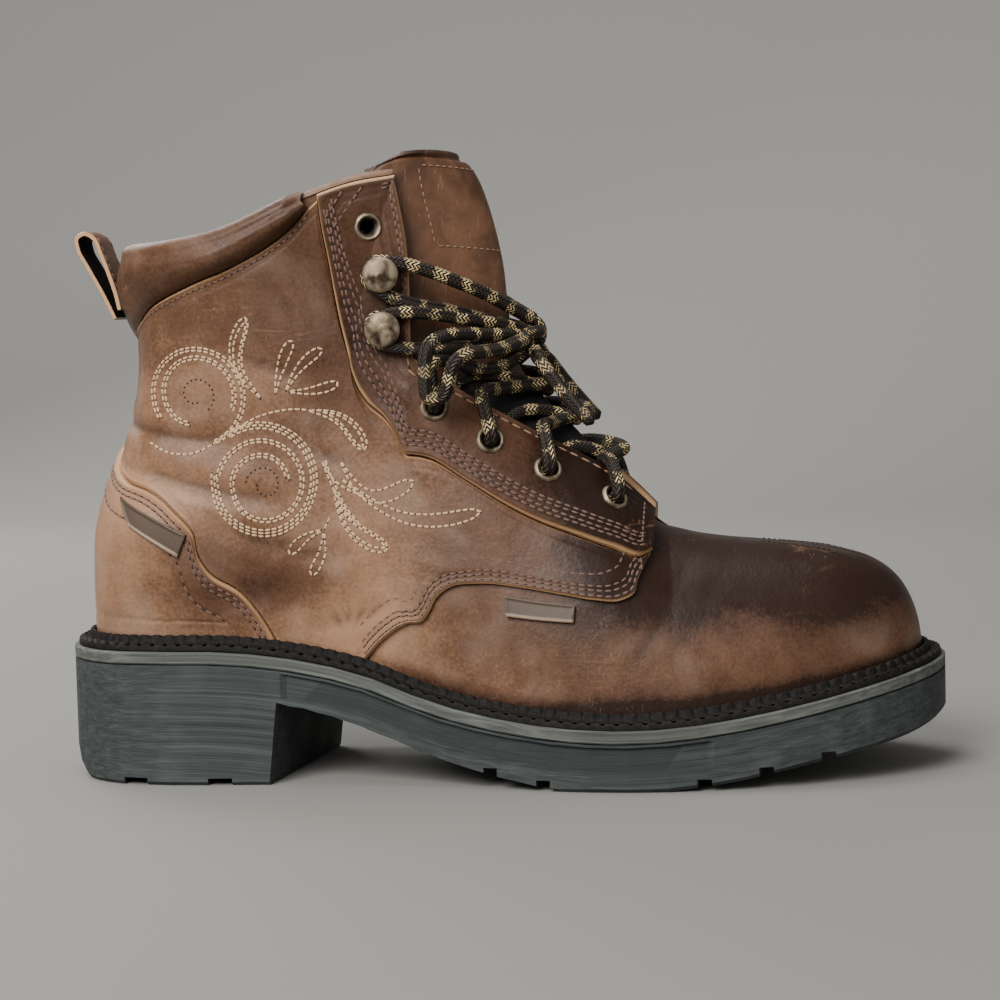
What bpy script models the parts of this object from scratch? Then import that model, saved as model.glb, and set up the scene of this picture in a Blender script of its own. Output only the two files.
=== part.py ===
"""Western work boot for the right foot, as an assembly of named pieces.

Metres. +X points to the toe, +Y to the inner side, +Z up. The origin is on the floor,
at the middle of the heel's rest face. The outer side of the foot is at -Y.
"""

import math
from collections import namedtuple
from functools import lru_cache

import bmesh
import bpy
import numpy as np
from mathutils import Vector

# Driving sizes
SOLE_LENGTH = 0.290
BALL_WIDTH = 0.106
HEEL_WIDTH = 0.073
HEEL_HEIGHT = 0.0435  # floor to the top of the midsole, at the heel
BALL_HEIGHT = 0.0195  # floor to the top of the midsole, at the ball
TOE_SPRING = 0.0165
VAMP_HEIGHT = 0.080  # floor to the throat
SHAFT_RISE = 0.116  # throat to the front corners of the collar
COLLAR_WIDTH = 0.070

# Sole
MIDSOLE_THICKNESS = 0.0040
SOLE_THICKNESS = 0.0195  # midsole and outsole together, at the ball
PANEL_DEPTH = 0.0012  # of the sunk panel along the outsole's side
TREAD_DEPTH = 0.0024
TREAD_GROOVE = 0.0045
HEEL_GROOVE = 0.0080
HEEL_LENGTH = 0.0745  # back of the heel to its front face, on the outer side
HEEL_SKEW = 0.012  # how much further forward that face lies on the inner side
HEEL_ROLL = 0.012  # length of the bevel under the heel's back
EDGE_BEVEL = 0.0012

# Welt
WELT_SET_BACK = 0.0015
WELT_HEIGHT = 0.0022
RIB_HEIGHT = 0.0046
RIB_WIDTH = 0.0018
LEDGE = 0.0078  # sole's edge to the upper

# Leather
WALL = 0.0024
QUARTER_THICKNESS = 0.0018
COUNTER_THICKNESS = 0.0032
EYESTAY_THICKNESS = 0.0032
COLLAR_THICKNESS = 0.0048
INSOLE_THICKNESS = 0.0040
TONGUE_THICKNESS = 0.0050
TONGUE_RISE = 0.009  # how far the tongue stands above the collar
TONGUE_FLAP = 0.011  # how far its edges reach behind the facings
GAP = 0.0003  # between neighbouring pieces
BEND_GAP = 0.0006  # under leather that wraps the curved wall
STAY_GAP = 0.0010  # under the eyestay, which turns the sharp corner of the facing

# Metal and lace
EYELET_RADIUS = 0.0046
EYELET_BARREL = 0.0031
EYELET_BORE = 0.0025
EYELET_LIP = 0.0009
HOOK_RADIUS = 0.0057
HOOK_STANDOFF = 0.0052
HOOK_NECK = 0.0021
LACE_DIAMETER = 0.0044

OUTER = -1
INNER = 1
SIDES = (OUTER, INNER)
SIDE_NAMES = {OUTER: "outer", INNER: "inner"}

# Half widths in front of the round heel, as shares of BALL_WIDTH
OutlineRow = namedtuple("OutlineRow", "along outer inner")
FOREPART = [
    OutlineRow(0.220, 0.352, 0.336),
    OutlineRow(0.320, 0.360, 0.312),
    OutlineRow(0.420, 0.396, 0.320),
    OutlineRow(0.520, 0.462, 0.368),
    OutlineRow(0.610, 0.510, 0.434),
    OutlineRow(0.690, 0.516, 0.478),
    OutlineRow(0.770, 0.492, 0.480),
    OutlineRow(0.840, 0.450, 0.455),
    OutlineRow(0.900, 0.390, 0.405),
    OutlineRow(0.950, 0.300, 0.320),
    OutlineRow(0.985, 0.176, 0.190),
]

# Height of the midsole's top, and thickness of the sole below it
SoleRow = namedtuple("SoleRow", "along heel toe thickness")
SOLE_LINE = [
    SoleRow(0.000, 0.990, 0.00, 0.74),
    SoleRow(0.120, 1.000, 0.00, 0.74),
    SoleRow(0.200, 0.985, 0.00, 0.74),
    SoleRow(0.276, 0.880, 0.00, 0.75),
    SoleRow(0.350, 0.680, 0.00, 0.84),
    SoleRow(0.433, 0.310, 0.00, 0.87),
    SoleRow(0.515, 0.100, 0.00, 0.94),
    SoleRow(0.595, 0.000, 0.00, 1.00),
    SoleRow(0.676, 0.000, 0.00, 1.00),
    SoleRow(0.760, 0.000, 0.16, 1.00),
    SoleRow(0.843, 0.000, 0.42, 0.98),
    SoleRow(0.910, 0.000, 0.67, 1.00),
    SoleRow(0.966, 0.000, 0.88, 0.98),
    SoleRow(1.000, 0.000, 1.00, 0.90),
]

# The upper's columns, from the back seam to the toe. around is the share of the way round
# the sole's edge. along, vamp, shaft and across place the rim; turn is the arc, in degrees,
# that the wall bends through, and square the exponent of that arc. belly and pinch swell the
# low wall and draw in the ankle, as shares of COLLAR_WIDTH. layers is the leather laid on it.
Column = namedtuple(
    "Column", "name around along vamp shaft across turn square belly pinch layers corner"
)
COLUMNS = [
    Column("back", 0.000, 0.088, 1.0, 0.785, 0.00, 28, 2.0, 0.00, 0.145, 1.00, True),
    Column("back_round", 0.075, 0.100, 1.0, 0.793, 0.43, 28, 2.0, 0.01, 0.125, 1.00, False),
    Column("rear_side", 0.140, 0.143, 1.0, 0.798, 0.79, 28, 2.0, 0.04, 0.070, 1.00, False),
    Column("mid_side", 0.205, 0.214, 1.0, 0.832, 0.96, 26, 2.0, 0.05, 0.030, 1.00, False),
    Column("fore_side", 0.260, 0.300, 1.0, 0.926, 0.99, 26, 2.0, 0.04, 0.010, 1.00, False),
    Column("front_side", 0.300, 0.359, 1.0, 0.974, 0.91, 30, 2.0, 0.04, 0.000, 0.86, False),
    Column("collar_front", 0.330, 0.400, 1.0, 0.991, 0.77, 34, 2.0, 0.04, 0.000, 0.56, True),
    Column("facing_high", 0.362, 0.413, 1.0, 0.776, 0.75, 38, 2.0, 0.04, 0.000, 0.56, False),
    Column("notch", 0.400, 0.415, 1.0, 0.490, 0.80, 46, 2.0, 0.03, 0.000, 0.56, True),
    Column("eyelet_row", 0.452, 0.452, 1.0, 0.410, 0.71, 50, 2.0, 0.02, 0.000, 0.36, False),
    Column("facing_mid", 0.525, 0.538, 1.0, 0.267, 0.54, 58, 2.0, 0.01, 0.000, 0.10, False),
    Column("facing_low", 0.600, 0.626, 1.0, 0.130, 0.37, 68, 2.0, 0.00, 0.000, 0.00, False),
    Column("throat_side", 0.640, 0.669, 1.0, 0.020, 0.27, 78, 2.0, 0.00, 0.000, 0.00, True),
    Column("throat", 0.665, 0.690, 0.98, 0.000, 0.00, 90, 2.0, 0.00, 0.000, 0.00, True),
    Column("ridge_back", 0.730, 0.738, 0.940, 0.000, 0.00, 90, 2.1, 0.00, 0.000, 0.00, False),
    Column("ridge_mid", 0.800, 0.800, 0.915, 0.000, 0.00, 90, 2.2, 0.00, 0.000, 0.00, False),
    Column("ridge_fore", 0.860, 0.848, 0.895, 0.000, 0.00, 90, 2.3, 0.00, 0.000, 0.00, False),
    Column("toe_top", 0.920, 0.880, 0.870, 0.000, 0.00, 90, 2.3, 0.00, 0.000, 0.00, False),
    Column("toe_front", 1.000, 0.900, 0.840, 0.000, 0.00, 90, 2.3, 0.00, 0.000, 0.00, True),
]
BELLY_AT, BELLY_REACH = 0.26, 0.26
PINCH_AT, PINCH_REACH = 0.65, 0.42

# Colours of the materials: base colour, roughness, metallic
MATERIALS = {
    "leather": ((0.135, 0.062, 0.030), 0.48, 0.0),
    "leather_dark": ((0.095, 0.043, 0.022), 0.50, 0.0),
    "lining": ((0.045, 0.030, 0.022), 0.90, 0.0),
    "rubber": ((0.040, 0.046, 0.046), 0.75, 0.0),
    "rubber_strip": ((0.075, 0.080, 0.078), 0.80, 0.0),
    "welt": ((0.022, 0.018, 0.015), 0.60, 0.0),
    "metal": ((0.330, 0.290, 0.225), 0.35, 1.0),
    "lace": ((0.110, 0.090, 0.060), 0.80, 0.0),
}

ORIGIN_ALONG = 0.5 * HEEL_LENGTH


def hermite(knots, values, at):
    """Smooth curve through values at knots, read off at the given places."""
    knots = np.asarray(knots, float)
    values = np.asarray(values, float)
    if len(knots) == 2:
        slopes = np.full(values.shape, 1.0) * (values[1] - values[0]) / (knots[1] - knots[0])
    else:
        slopes = np.gradient(values, knots, axis=0)
    at = np.asarray(at, float)
    low = np.clip(np.searchsorted(knots, at, side="right") - 1, 0, len(knots) - 2)
    step = knots[low + 1] - knots[low]
    t = (at - knots[low]) / step
    spare = at.shape + (1,) * (values.ndim - 1)
    t, step = t.reshape(spare), step.reshape(spare)
    return (
        (2 * t**3 - 3 * t**2 + 1) * values[low]
        + (t**3 - 2 * t**2 + t) * step * slopes[low]
        + (3 * t**2 - 2 * t**3) * values[low + 1]
        + (t**3 - t**2) * step * slopes[low + 1]
    )


def read(rows, name):
    """One named column of a table."""
    return np.array([getattr(row, name) for row in rows], float)


def side_points(side):
    """The sole's edge on one side, from the back of the heel to the toe."""
    radius = HEEL_WIDTH / 2
    points = []
    for angle in np.radians([0.0, 30.0, 60.0, 90.0]):
        points.append((radius * (1 - math.cos(angle)), side * radius * math.sin(angle)))
    for row in FOREPART:
        share = row.outer if side == OUTER else row.inner
        points.append((row.along * SOLE_LENGTH, side * share * BALL_WIDTH))
    points.append((SOLE_LENGTH, 0.0))
    return np.array(points)


def side_curve(side, samples=600):
    """Evenly spaced points of one side's edge, with the outward direction at each."""
    points = side_points(side)
    mirror = points * (1, -1)
    padded = np.vstack([mirror[2:0:-1], points, mirror[-2:-4:-1]])
    chord = np.concatenate([[0], np.cumsum(np.linalg.norm(np.diff(padded, axis=0), axis=1))])
    dense = hermite(chord, padded, np.linspace(chord[2], chord[-3], samples * 4))
    run = np.concatenate([[0], np.cumsum(np.linalg.norm(np.diff(dense, axis=0), axis=1))])
    even = np.linspace(0, run[-1], samples)
    curve = np.stack([np.interp(even, run, dense[:, k]) for k in (0, 1)], axis=1)
    tangent = np.gradient(curve, axis=0)
    tangent /= np.linalg.norm(tangent, axis=1)[:, None]
    outward = np.stack([-side * -tangent[:, 1], -side * tangent[:, 0]], axis=1) * (-1, -1)
    outward[0] = (-1, 0)
    outward[-1] = (1, 0)
    return curve, outward


SIDE_CURVES = {side: side_curve(side) for side in SIDES}


def outline(side, around, inset):
    """Points (x, y) of the sole's edge moved inwards, and the outward directions there."""
    curve, outward = SIDE_CURVES[side]
    shares = np.linspace(0, 1, len(curve))
    point = np.stack([np.interp(around, shares, curve[:, k]) for k in (0, 1)], axis=-1)
    out = np.stack([np.interp(around, shares, outward[:, k]) for k in (0, 1)], axis=-1)
    out /= np.linalg.norm(out, axis=-1, keepdims=True)
    return point - out * np.asarray(inset, float)[..., None], out


def sole_top(x):
    """Height of the midsole's top above the floor."""
    along = np.clip(np.asarray(x, float) / SOLE_LENGTH, 0, 1)
    heel = hermite(read(SOLE_LINE, "along"), read(SOLE_LINE, "heel"), along)
    toe = hermite(read(SOLE_LINE, "along"), read(SOLE_LINE, "toe"), along)
    return BALL_HEIGHT + heel * (HEEL_HEIGHT - BALL_HEIGHT) + toe * TOE_SPRING


def sole_bottom(x):
    """Height of the outsole's tread above the floor, leaving the heel out."""
    along = np.clip(np.asarray(x, float) / SOLE_LENGTH, 0, 1)
    share = hermite(read(SOLE_LINE, "along"), read(SOLE_LINE, "thickness"), along)
    return np.maximum(sole_top(x) - share * SOLE_THICKNESS, 0.0)


def column_value(name, around):
    """A column of COLUMNS, smooth between corners and free to kink at them."""
    around = np.asarray(around, float)
    knots = read(COLUMNS, "around")
    values = read(COLUMNS, name)
    corners = [i for i, row in enumerate(COLUMNS) if row.corner]
    result = np.zeros(around.shape)
    for first, last in zip(corners, corners[1:]):
        inside = (around >= knots[first]) & (around <= knots[last])
        run = hermite(knots[first : last + 1], values[first : last + 1], around)
        result = np.where(inside, run, result)
    return result


def bump(at, centre, reach):
    """A smooth hump of height 1 that ends at centre plus or minus reach."""
    off = np.clip(np.abs(np.asarray(at, float) - centre) / reach, 0, 1)
    return np.cos(0.5 * math.pi * off) ** 2


def form(side, around, up):
    """Outer face of the upper's wall. up runs from 0 at the welt to 1 at the rim."""
    around, up = np.broadcast_arrays(np.asarray(around, float), np.asarray(up, float))
    knots = read(COLUMNS, "around")
    smooth = {
        name: hermite(knots, read(COLUMNS, name), around)
        for name in ("turn", "square", "belly", "pinch", "layers")
    }
    foot, out = outline(side, around, LEDGE + smooth["layers"] * COUNTER_THICKNESS)
    foot_z = sole_top(foot[..., 0]) + GAP
    rim_x = column_value("along", around) * SOLE_LENGTH
    rim_y = side * column_value("across", around) * COLLAR_WIDTH / 2
    rim_z = column_value("vamp", around) * VAMP_HEIGHT
    rim_z = rim_z + column_value("shaft", around) * SHAFT_RISE

    def arc(angle):
        cosine, sine = np.cos(angle), np.sin(angle)
        power = smooth["square"]
        radius = (np.abs(cosine) ** power + np.abs(sine) ** power) ** (-1 / power)
        return radius * cosine, radius * sine

    end = np.radians(np.minimum(smooth["turn"], 90.0))
    across_now, up_now = arc(end * up)
    across_end, up_end = arc(end)
    inward = 1 - (across_now - across_end) / (1 - across_end)
    upward = up_now / up_end
    swell = smooth["belly"] * bump(up, BELLY_AT, BELLY_REACH)
    swell = (swell - smooth["pinch"] * bump(up, PINCH_AT, PINCH_REACH)) * COLLAR_WIDTH
    return np.stack(
        [
            foot[..., 0] + (rim_x - foot[..., 0]) * inward + out[..., 0] * swell,
            foot[..., 1] + (rim_y - foot[..., 1]) * inward + out[..., 1] * swell,
            foot_z + (rim_z - foot_z) * upward,
        ],
        axis=-1,
    )


def form_normal(side, around, up, step=2e-3):
    """Outward direction of the upper's wall."""
    around, up = np.broadcast_arrays(np.asarray(around, float), np.asarray(up, float))
    tip = (around > 1 - step) & (up > 0.96)
    on_ridge = (up >= 1) & (around >= throat_around()) & ~tip
    up = np.where(tip, 0.96, up)
    low_a = np.where(on_ridge, around, np.clip(around - step, 0, 1))
    high_a = np.clip(around + step, 0, 1)
    low_u, high_u = np.clip(up - step, 0, 1), np.clip(up + step, 0, 1)
    forward = form(side, high_a, up) - form(side, low_a, up)
    upward = form(side, around, high_u) - form(side, around, low_u)
    normal = np.cross(forward, upward) * -side
    along_ridge = np.stack([-forward[..., 2], 0 * around, forward[..., 0]], axis=-1)
    normal = np.where(on_ridge[..., None], along_ridge, normal)
    on_seam = (around <= 0) | (around >= 1) | on_ridge | tip
    normal[..., 1] = np.where(on_seam, 0.0, normal[..., 1])
    return normal / np.linalg.norm(normal, axis=-1, keepdims=True)


def station(name):
    """The share round the sole of a named column."""
    return next(row.around for row in COLUMNS if row.name == name)


def throat_around():
    return station("throat")


def on_form(side, around, up, lift):
    """A point held a set distance outside the upper's wall."""
    lift = np.asarray(lift, float)[..., None]
    return form(side, around, up) + form_normal(side, around, up) * lift


# Seams seen from the side. along is a share of SOLE_LENGTH. rise is 0 at the welt, 1 at the
# throat's height and 2 at the collar's front corner; along 0 means the back seam.
SeamRow = namedtuple("SeamRow", "along rise")
COUNTER_EDGE = [
    SeamRow(0.000, 1.245),
    SeamRow(0.084, 1.160),
    SeamRow(0.117, 1.124),
    SeamRow(0.148, 1.064),
    SeamRow(0.165, 1.017),
    SeamRow(0.172, 0.918),
    SeamRow(0.182, 0.860),
    SeamRow(0.215, 0.778),
    SeamRow(0.235, 0.690),
    SeamRow(0.262, 0.000),
]
VAMP_EDGE = [
    SeamRow(0.348, 0.000),
    SeamRow(0.384, 0.596),
    SeamRow(0.404, 0.640),
    SeamRow(0.422, 0.650),
    SeamRow(0.431, 0.692),
    SeamRow(0.439, 0.744),
    SeamRow(0.453, 0.783),
    SeamRow(0.486, 0.799),
    SeamRow(0.535, 0.781),
    SeamRow(0.580, 0.752),
    SeamRow(0.612, 0.730),
    SeamRow(0.641, 0.724),
    SeamRow(0.655, 0.748),
    SeamRow(0.659, 0.796),
    SeamRow(0.665, 0.855),
]
COLLAR_SEAM = [
    SeamRow(0.000, 1.540),
    SeamRow(0.106, 1.607),
    SeamRow(0.138, 1.665),
    SeamRow(0.180, 1.710),
    SeamRow(0.226, 1.755),
    SeamRow(0.262, 1.802),
    SeamRow(0.291, 1.855),
    SeamRow(0.309, 1.905),
]
EYESTAY_EDGE = [
    SeamRow(0.318, 1.925),
    SeamRow(0.320, 1.860),
    SeamRow(0.326, 1.757),
    SeamRow(0.332, 1.642),
    SeamRow(0.339, 1.544),
    SeamRow(0.348, 1.447),
    SeamRow(0.364, 1.364),
    SeamRow(0.393, 1.291),
    SeamRow(0.436, 1.202),
    SeamRow(0.475, 1.138),
    SeamRow(0.515, 1.072),
    SeamRow(0.581, 0.992),
    SeamRow(0.630, 0.919),
    SeamRow(0.657, 0.879),
    SeamRow(0.671, 0.895),
]
# The eyestay's front edge follows the rim through these shares round the sole
RIM_FRONT = [
    0.272, 0.300, 0.330, 0.346, 0.362, 0.381, 0.400, 0.417, 0.434,
    0.452, 0.476, 0.500, 0.525, 0.555, 0.585, 0.615, 0.640,
]
SEAM_POINTS = 14
STAY_POINTS = len(RIM_FRONT)

EYELET_PLACES = [
    SeamRow(0.627, 1.065),
    SeamRow(0.558, 1.153),
    SeamRow(0.496, 1.243),
    SeamRow(0.437, 1.345),
    SeamRow(0.368, 1.850),
]
HOOK_PLACES = [
    SeamRow(0.386, 1.563),
    SeamRow(0.384, 1.714),
]

# The tongue's rows from under the vamp to its top. along and rise place its middle line;
# puff is its thickness there as a share of TONGUE_THICKNESS
TongueRow = namedtuple("TongueRow", "around along rise puff")
TONGUE_ROWS = [
    TongueRow(0.290, 0.458, 2.065, 0.90),
    TongueRow(0.330, 0.486, 1.960, 1.25),
    TongueRow(0.362, 0.508, 1.750, 1.30),
    TongueRow(0.400, 0.520, 1.500, 1.10),
    TongueRow(0.452, 0.546, 1.385, 0.70),
    TongueRow(0.525, 0.590, 1.265, 0.50),
    TongueRow(0.600, 0.645, 1.105, 0.50),
    TongueRow(0.640, 0.668, 1.005, 0.50),
    TongueRow(0.665, 0.000, 0.000, 0.50),
    TongueRow(0.700, 0.000, 0.000, 0.50),
    TongueRow(0.740, 0.000, 0.000, 0.50),
]
TONGUE_CLEARANCE = 0.0013
TONGUE_ACROSS = [-1.0, -0.62, 0.0, 0.62, 1.0]

# Routes of the free lace: the surface it lies along, shares on it, and lace widths above it
RouteRow = namedtuple("RouteRow", "where around up lift")


def height(rise):
    """Height above the floor of a share that is 1 at the throat and 2 at the collar's front."""
    rise = np.asarray(rise, float)
    return np.minimum(rise, 1.0) * VAMP_HEIGHT + np.maximum(rise - 1.0, 0.0) * SHAFT_RISE


@lru_cache(maxsize=None)
def locate(side, along, rise):
    """Shares (around, up) of the wall's point seen from the side at these shares."""
    x, z = along * SOLE_LENGTH, float(height(rise))
    fine = np.linspace(0, 1, 401)
    if along == 0:
        return 0.0, float(np.interp(z, form(side, 0.0, fine)[:, 2], fine))
    if rise == 0:
        return float(np.interp(x, form(side, fine, 0.0)[:, 0], fine)), 0.0
    return locate_point(side, x, z)


@lru_cache(maxsize=None)
def locate_point(side, x, z):
    """Shares (around, up) of the wall's point at x and z."""
    around, up = np.meshgrid(np.linspace(0, 0.8, 81), np.linspace(0, 1, 41), indexing="ij")
    seen = form(side, around, up)
    nearest = np.argmin((seen[..., 0] - x) ** 2 + (seen[..., 2] - z) ** 2)
    a, u = around.flat[nearest], up.flat[nearest]
    step = 1e-4
    for _ in range(12):
        here = form(side, a, u)[[0, 2]]
        da = (form(side, a + step, u)[[0, 2]] - form(side, a - step, u)[[0, 2]]) / (2 * step)
        high, low = min(u + step, 1.0), max(u - step, 0.0)
        du = (form(side, a, high)[[0, 2]] - form(side, a, low)[[0, 2]]) / (high - low)
        move = np.linalg.lstsq(np.stack([da, du], axis=1), np.array([x, z]) - here, rcond=1e-3)[0]
        a = float(np.clip(a + 0.8 * np.clip(move[0], -0.03, 0.03), step, 1.0 - step))
        u = float(np.clip(u + 0.8 * np.clip(move[1], -0.1, 0.1), 0.0, 1.0))
    return a, u


def spread(side, shares, count):
    """Shares spaced evenly along a smooth line through the given ones."""
    shares = np.asarray(shares, float)
    points = form(side, shares[:, 0], shares[:, 1])
    chord = np.concatenate([[0], np.cumsum(np.linalg.norm(np.diff(points, axis=0), axis=1))])
    return np.clip(hermite(chord, shares, np.linspace(0, chord[-1], count)), 0.0, 1.0)


def seam(side, rows, count):
    """A seam's line on the wall, as shares (around, up)."""
    return spread(side, [locate(side, row.along, row.rise) for row in rows], count)


def ruled(side, low, high, divisions, trim_low, trim_high):
    """Shares on straight lines from low to high, drawn in from each by a set length."""
    span = form(side, high[:, 0], high[:, 1]) - form(side, low[:, 0], low[:, 1])
    length = np.linalg.norm(span, axis=1)
    start = (trim_low / length)[:, None]
    end = 1 - (trim_high / length)[:, None]
    share = start + (end - start) * np.linspace(0, 1, divisions + 1)
    return low[:, None, :] + (high - low)[:, None, :] * share[..., None]


def shell(outer, inner, ring=False, open_rim=None):
    """Vertices and faces of a closed body between two matching grids of points."""
    rows, columns = outer.shape[:2]
    vertices = np.concatenate([outer.reshape(-1, 3), inner.reshape(-1, 3)])
    base = rows * columns
    faces = []
    count = rows if ring else rows - 1
    for i in range(count):
        k = (i + 1) % rows
        for j in range(columns - 1):
            a, b, c, d = (i * columns + j, k * columns + j, k * columns + j + 1, i * columns + j + 1)
            faces.append((a, b, c, d))
            faces.append((base + d, base + c, base + b, base + a))
        a, b = i * columns, k * columns
        faces.append((a, a + base, b + base, b))
        if open_rim is None or open_rim[i]:
            a, b = a + columns - 1, b + columns - 1
            faces.append((a, b, b + base, a + base))
    if not ring:
        for i in (0, rows - 1):
            for j in range(columns - 1):
                a, b = i * columns + j, i * columns + j + 1
                faces.append((a, b, b + base, a + base))
    return vertices, faces


def material(name):
    """The Principled material of that name, made the first time it is asked for."""
    if name in bpy.data.materials:
        return bpy.data.materials[name]
    colour, roughness, metallic = MATERIALS[name]
    made = bpy.data.materials.new(name)
    made.use_nodes = True
    shader = made.node_tree.nodes["Principled BSDF"]
    shader.inputs["Base Color"].default_value = (*colour, 1.0)
    shader.inputs["Roughness"].default_value = roughness
    shader.inputs["Metallic"].default_value = metallic
    made.diffuse_color = (*colour, 1.0)
    return made


def add_body(name, vertices, faces, slot, smooth_angle=40.0):
    """A welded, outward-facing mesh object under the boot's empty."""
    mesh = bpy.data.meshes.new(name)
    build = bmesh.new()
    corners = [build.verts.new(Vector(point)) for point in vertices]
    for face in faces:
        build.faces.new([corners[i] for i in face])
    bmesh.ops.remove_doubles(build, verts=build.verts, dist=2e-6)
    bmesh.ops.dissolve_degenerate(build, edges=build.edges, dist=1e-6)
    bmesh.ops.recalc_face_normals(build, faces=build.faces)
    build.to_mesh(mesh)
    build.free()
    return place(name, mesh, slot, smooth_angle)


def place(name, data, slot, smooth_angle=40.0):
    """Link an object under the boot's empty and give it its material."""
    body = bpy.data.objects.new(name, data)
    bpy.context.scene.collection.objects.link(body)
    if slot:
        data.materials.append(material(slot))
    if isinstance(data, bpy.types.Mesh):
        data.shade_smooth()
        data.set_sharp_from_angle(angle=math.radians(smooth_angle))
    body.parent = bpy.data.objects["boot"]
    return body


def cut(body, tool, operation="DIFFERENCE"):
    """A Boolean modifier on body, with its tool hidden from renders."""
    change = body.modifiers.new(tool.name, "BOOLEAN")
    change.operation = operation
    change.solver = "EXACT"
    change.object = tool
    tool.hide_render = True
    tool.display_type = "WIRE"


def around_list(*spans):
    """Shares round the sole, from (start, end, steps) spans that share their ends."""
    shares = [spans[0][0]]
    for start, end, steps in spans:
        shares.extend(np.linspace(start, end, steps + 1)[1:])
    return np.array(shares)


def both_sides(shares, make_point):
    """Points of a closed ring: the outer side from heel to toe and the inner side back."""
    outer = make_point(OUTER, shares)
    inner = make_point(INNER, shares[1:-1])[::-1]
    return np.concatenate([outer, inner])


# Sole


def edge_ring(shares, inset, level):
    """The sole's edge drawn in by inset, at the height that level gives for x, side, share."""

    def points(side, around):
        inset_here = inset(side, around) if callable(inset) else np.full(len(around), inset)
        flat, _ = outline(side, around, inset_here)
        z = level(flat[:, 0], side)
        return np.column_stack([flat, z])

    return both_sides(shares, points)


def plate(name, shares, levels, slot, divisions):
    """A solid whose side follows rings of the sole's edge, from the top one down."""
    rings = [edge_ring(shares, inset, level) for inset, level in levels]
    count = len(rings[0])
    half = len(shares) - 1
    vertices = list(np.concatenate(rings))
    faces = []
    for r in range(len(rings) - 1):
        for i in range(count):
            k = (i + 1) % count
            faces.append((r * count + i, (r + 1) * count + i, (r + 1) * count + k, r * count + k))
    for r, (inset, level) in ((0, levels[0]), (len(rings) - 1, levels[-1])):
        across = {}
        for i in range(half + 1):
            mate = (count - i) % count
            row = [r * count + i]
            for j in range(1, divisions):
                start, end = rings[r][i], rings[r][mate]
                point = start + (end - start) * j / divisions
                point[2] = level(point[0:1], 0)[0]
                row.append(len(vertices))
                vertices.append(point)
            row.append(r * count + mate)
            across[i] = row
        for i in range(half):
            for j in range(divisions):
                face = (across[i][j], across[i + 1][j], across[i + 1][j + 1], across[i][j + 1])
                faces.append(face if r else face[::-1])
    return add_body(name, vertices, faces, slot)


SOLE_SHARES = around_list((0, 0.14, 8), (0.14, 0.88, 19), (0.88, 1.0, 7))


def build_midsole():
    lip = 0.0005
    low = MIDSOLE_THICKNESS
    levels = [
        (lip, lambda x, side: sole_top(x)),
        (0.0, lambda x, side: sole_top(x) - lip),
        (0.0, lambda x, side: sole_top(x) - low + lip),
        (lip, lambda x, side: sole_top(x) - low),
    ]
    plate("midsole", SOLE_SHARES, levels, "rubber_strip", 4)


def heel_roll(x):
    """Height of the bevel under the heel's back edge."""
    return 1.25 * HEEL_ROLL * np.clip(1 - x / HEEL_ROLL, 0, 1) ** 3


def tread_level(x, side=0):
    """The outsole's underside, with the heel's depth carried forward to the ball."""
    full = np.where(x < 0.6 * SOLE_LENGTH, 0.0, sole_bottom(x))
    return full + heel_roll(x)


# The sunk panel: shares round the sole where it starts and ends, then shares of its depth
PANEL_START, PANEL_END, PANEL_RAMP = 0.285, 0.700, 0.006
PANEL_TOP, PANEL_LOW, PANEL_SLOPE = 0.05, 0.60, 0.03
PANEL_CLEAR = 0.001  # between its levels where the sole is thin


def panel_inset(side, around):
    """Depth of the sunk panel: nothing at the heel and the toe."""
    rise = np.clip((around - PANEL_START) / PANEL_RAMP, 0, 1)
    fall = np.clip((PANEL_END - around) / PANEL_RAMP, 0, 1)
    return PANEL_DEPTH * np.minimum(rise, fall)


def outsole_top(x, side=0):
    return sole_top(x) - MIDSOLE_THICKNESS - GAP


def side_level(share, clear):
    """A level at a share of the sole's depth, kept clear above the edge of the tread."""
    deep = SOLE_THICKNESS - MIDSOLE_THICKNESS - GAP
    return lambda x, side: np.maximum(
        outsole_top(x) - share * deep, tread_level(x) + EDGE_BEVEL + clear
    )


def build_outsole():
    shares = around_list(
        (0, 0.14, 8),
        (0.14, PANEL_START, 4),
        (PANEL_START, PANEL_START + PANEL_RAMP, 1),
        (PANEL_START + PANEL_RAMP, PANEL_END - PANEL_RAMP, 11),
        (PANEL_END - PANEL_RAMP, PANEL_END, 1),
        (PANEL_END, 0.88, 6),
        (0.88, 1.0, 7),
    )
    levels = [
        (0.0, outsole_top),
        (0.0, side_level(PANEL_TOP, 4 * PANEL_CLEAR)),
        (panel_inset, side_level(PANEL_TOP + PANEL_SLOPE, 3 * PANEL_CLEAR)),
        (panel_inset, side_level(PANEL_LOW - PANEL_SLOPE, 2 * PANEL_CLEAR)),
        (0.0, side_level(PANEL_LOW, PANEL_CLEAR)),
        (0.0, lambda x, side: tread_level(x) + EDGE_BEVEL),
        (EDGE_BEVEL, tread_level),
    ]
    sole = plate("outsole", shares, levels, "rubber", 4)
    cut(sole, arch_tool())
    cut(sole, groove_tool())


def breast_along(y):
    """Where the heel's front face stands, for a place across the sole."""
    return HEEL_LENGTH + HEEL_SKEW * (y / HEEL_WIDTH + 0.5)


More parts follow.
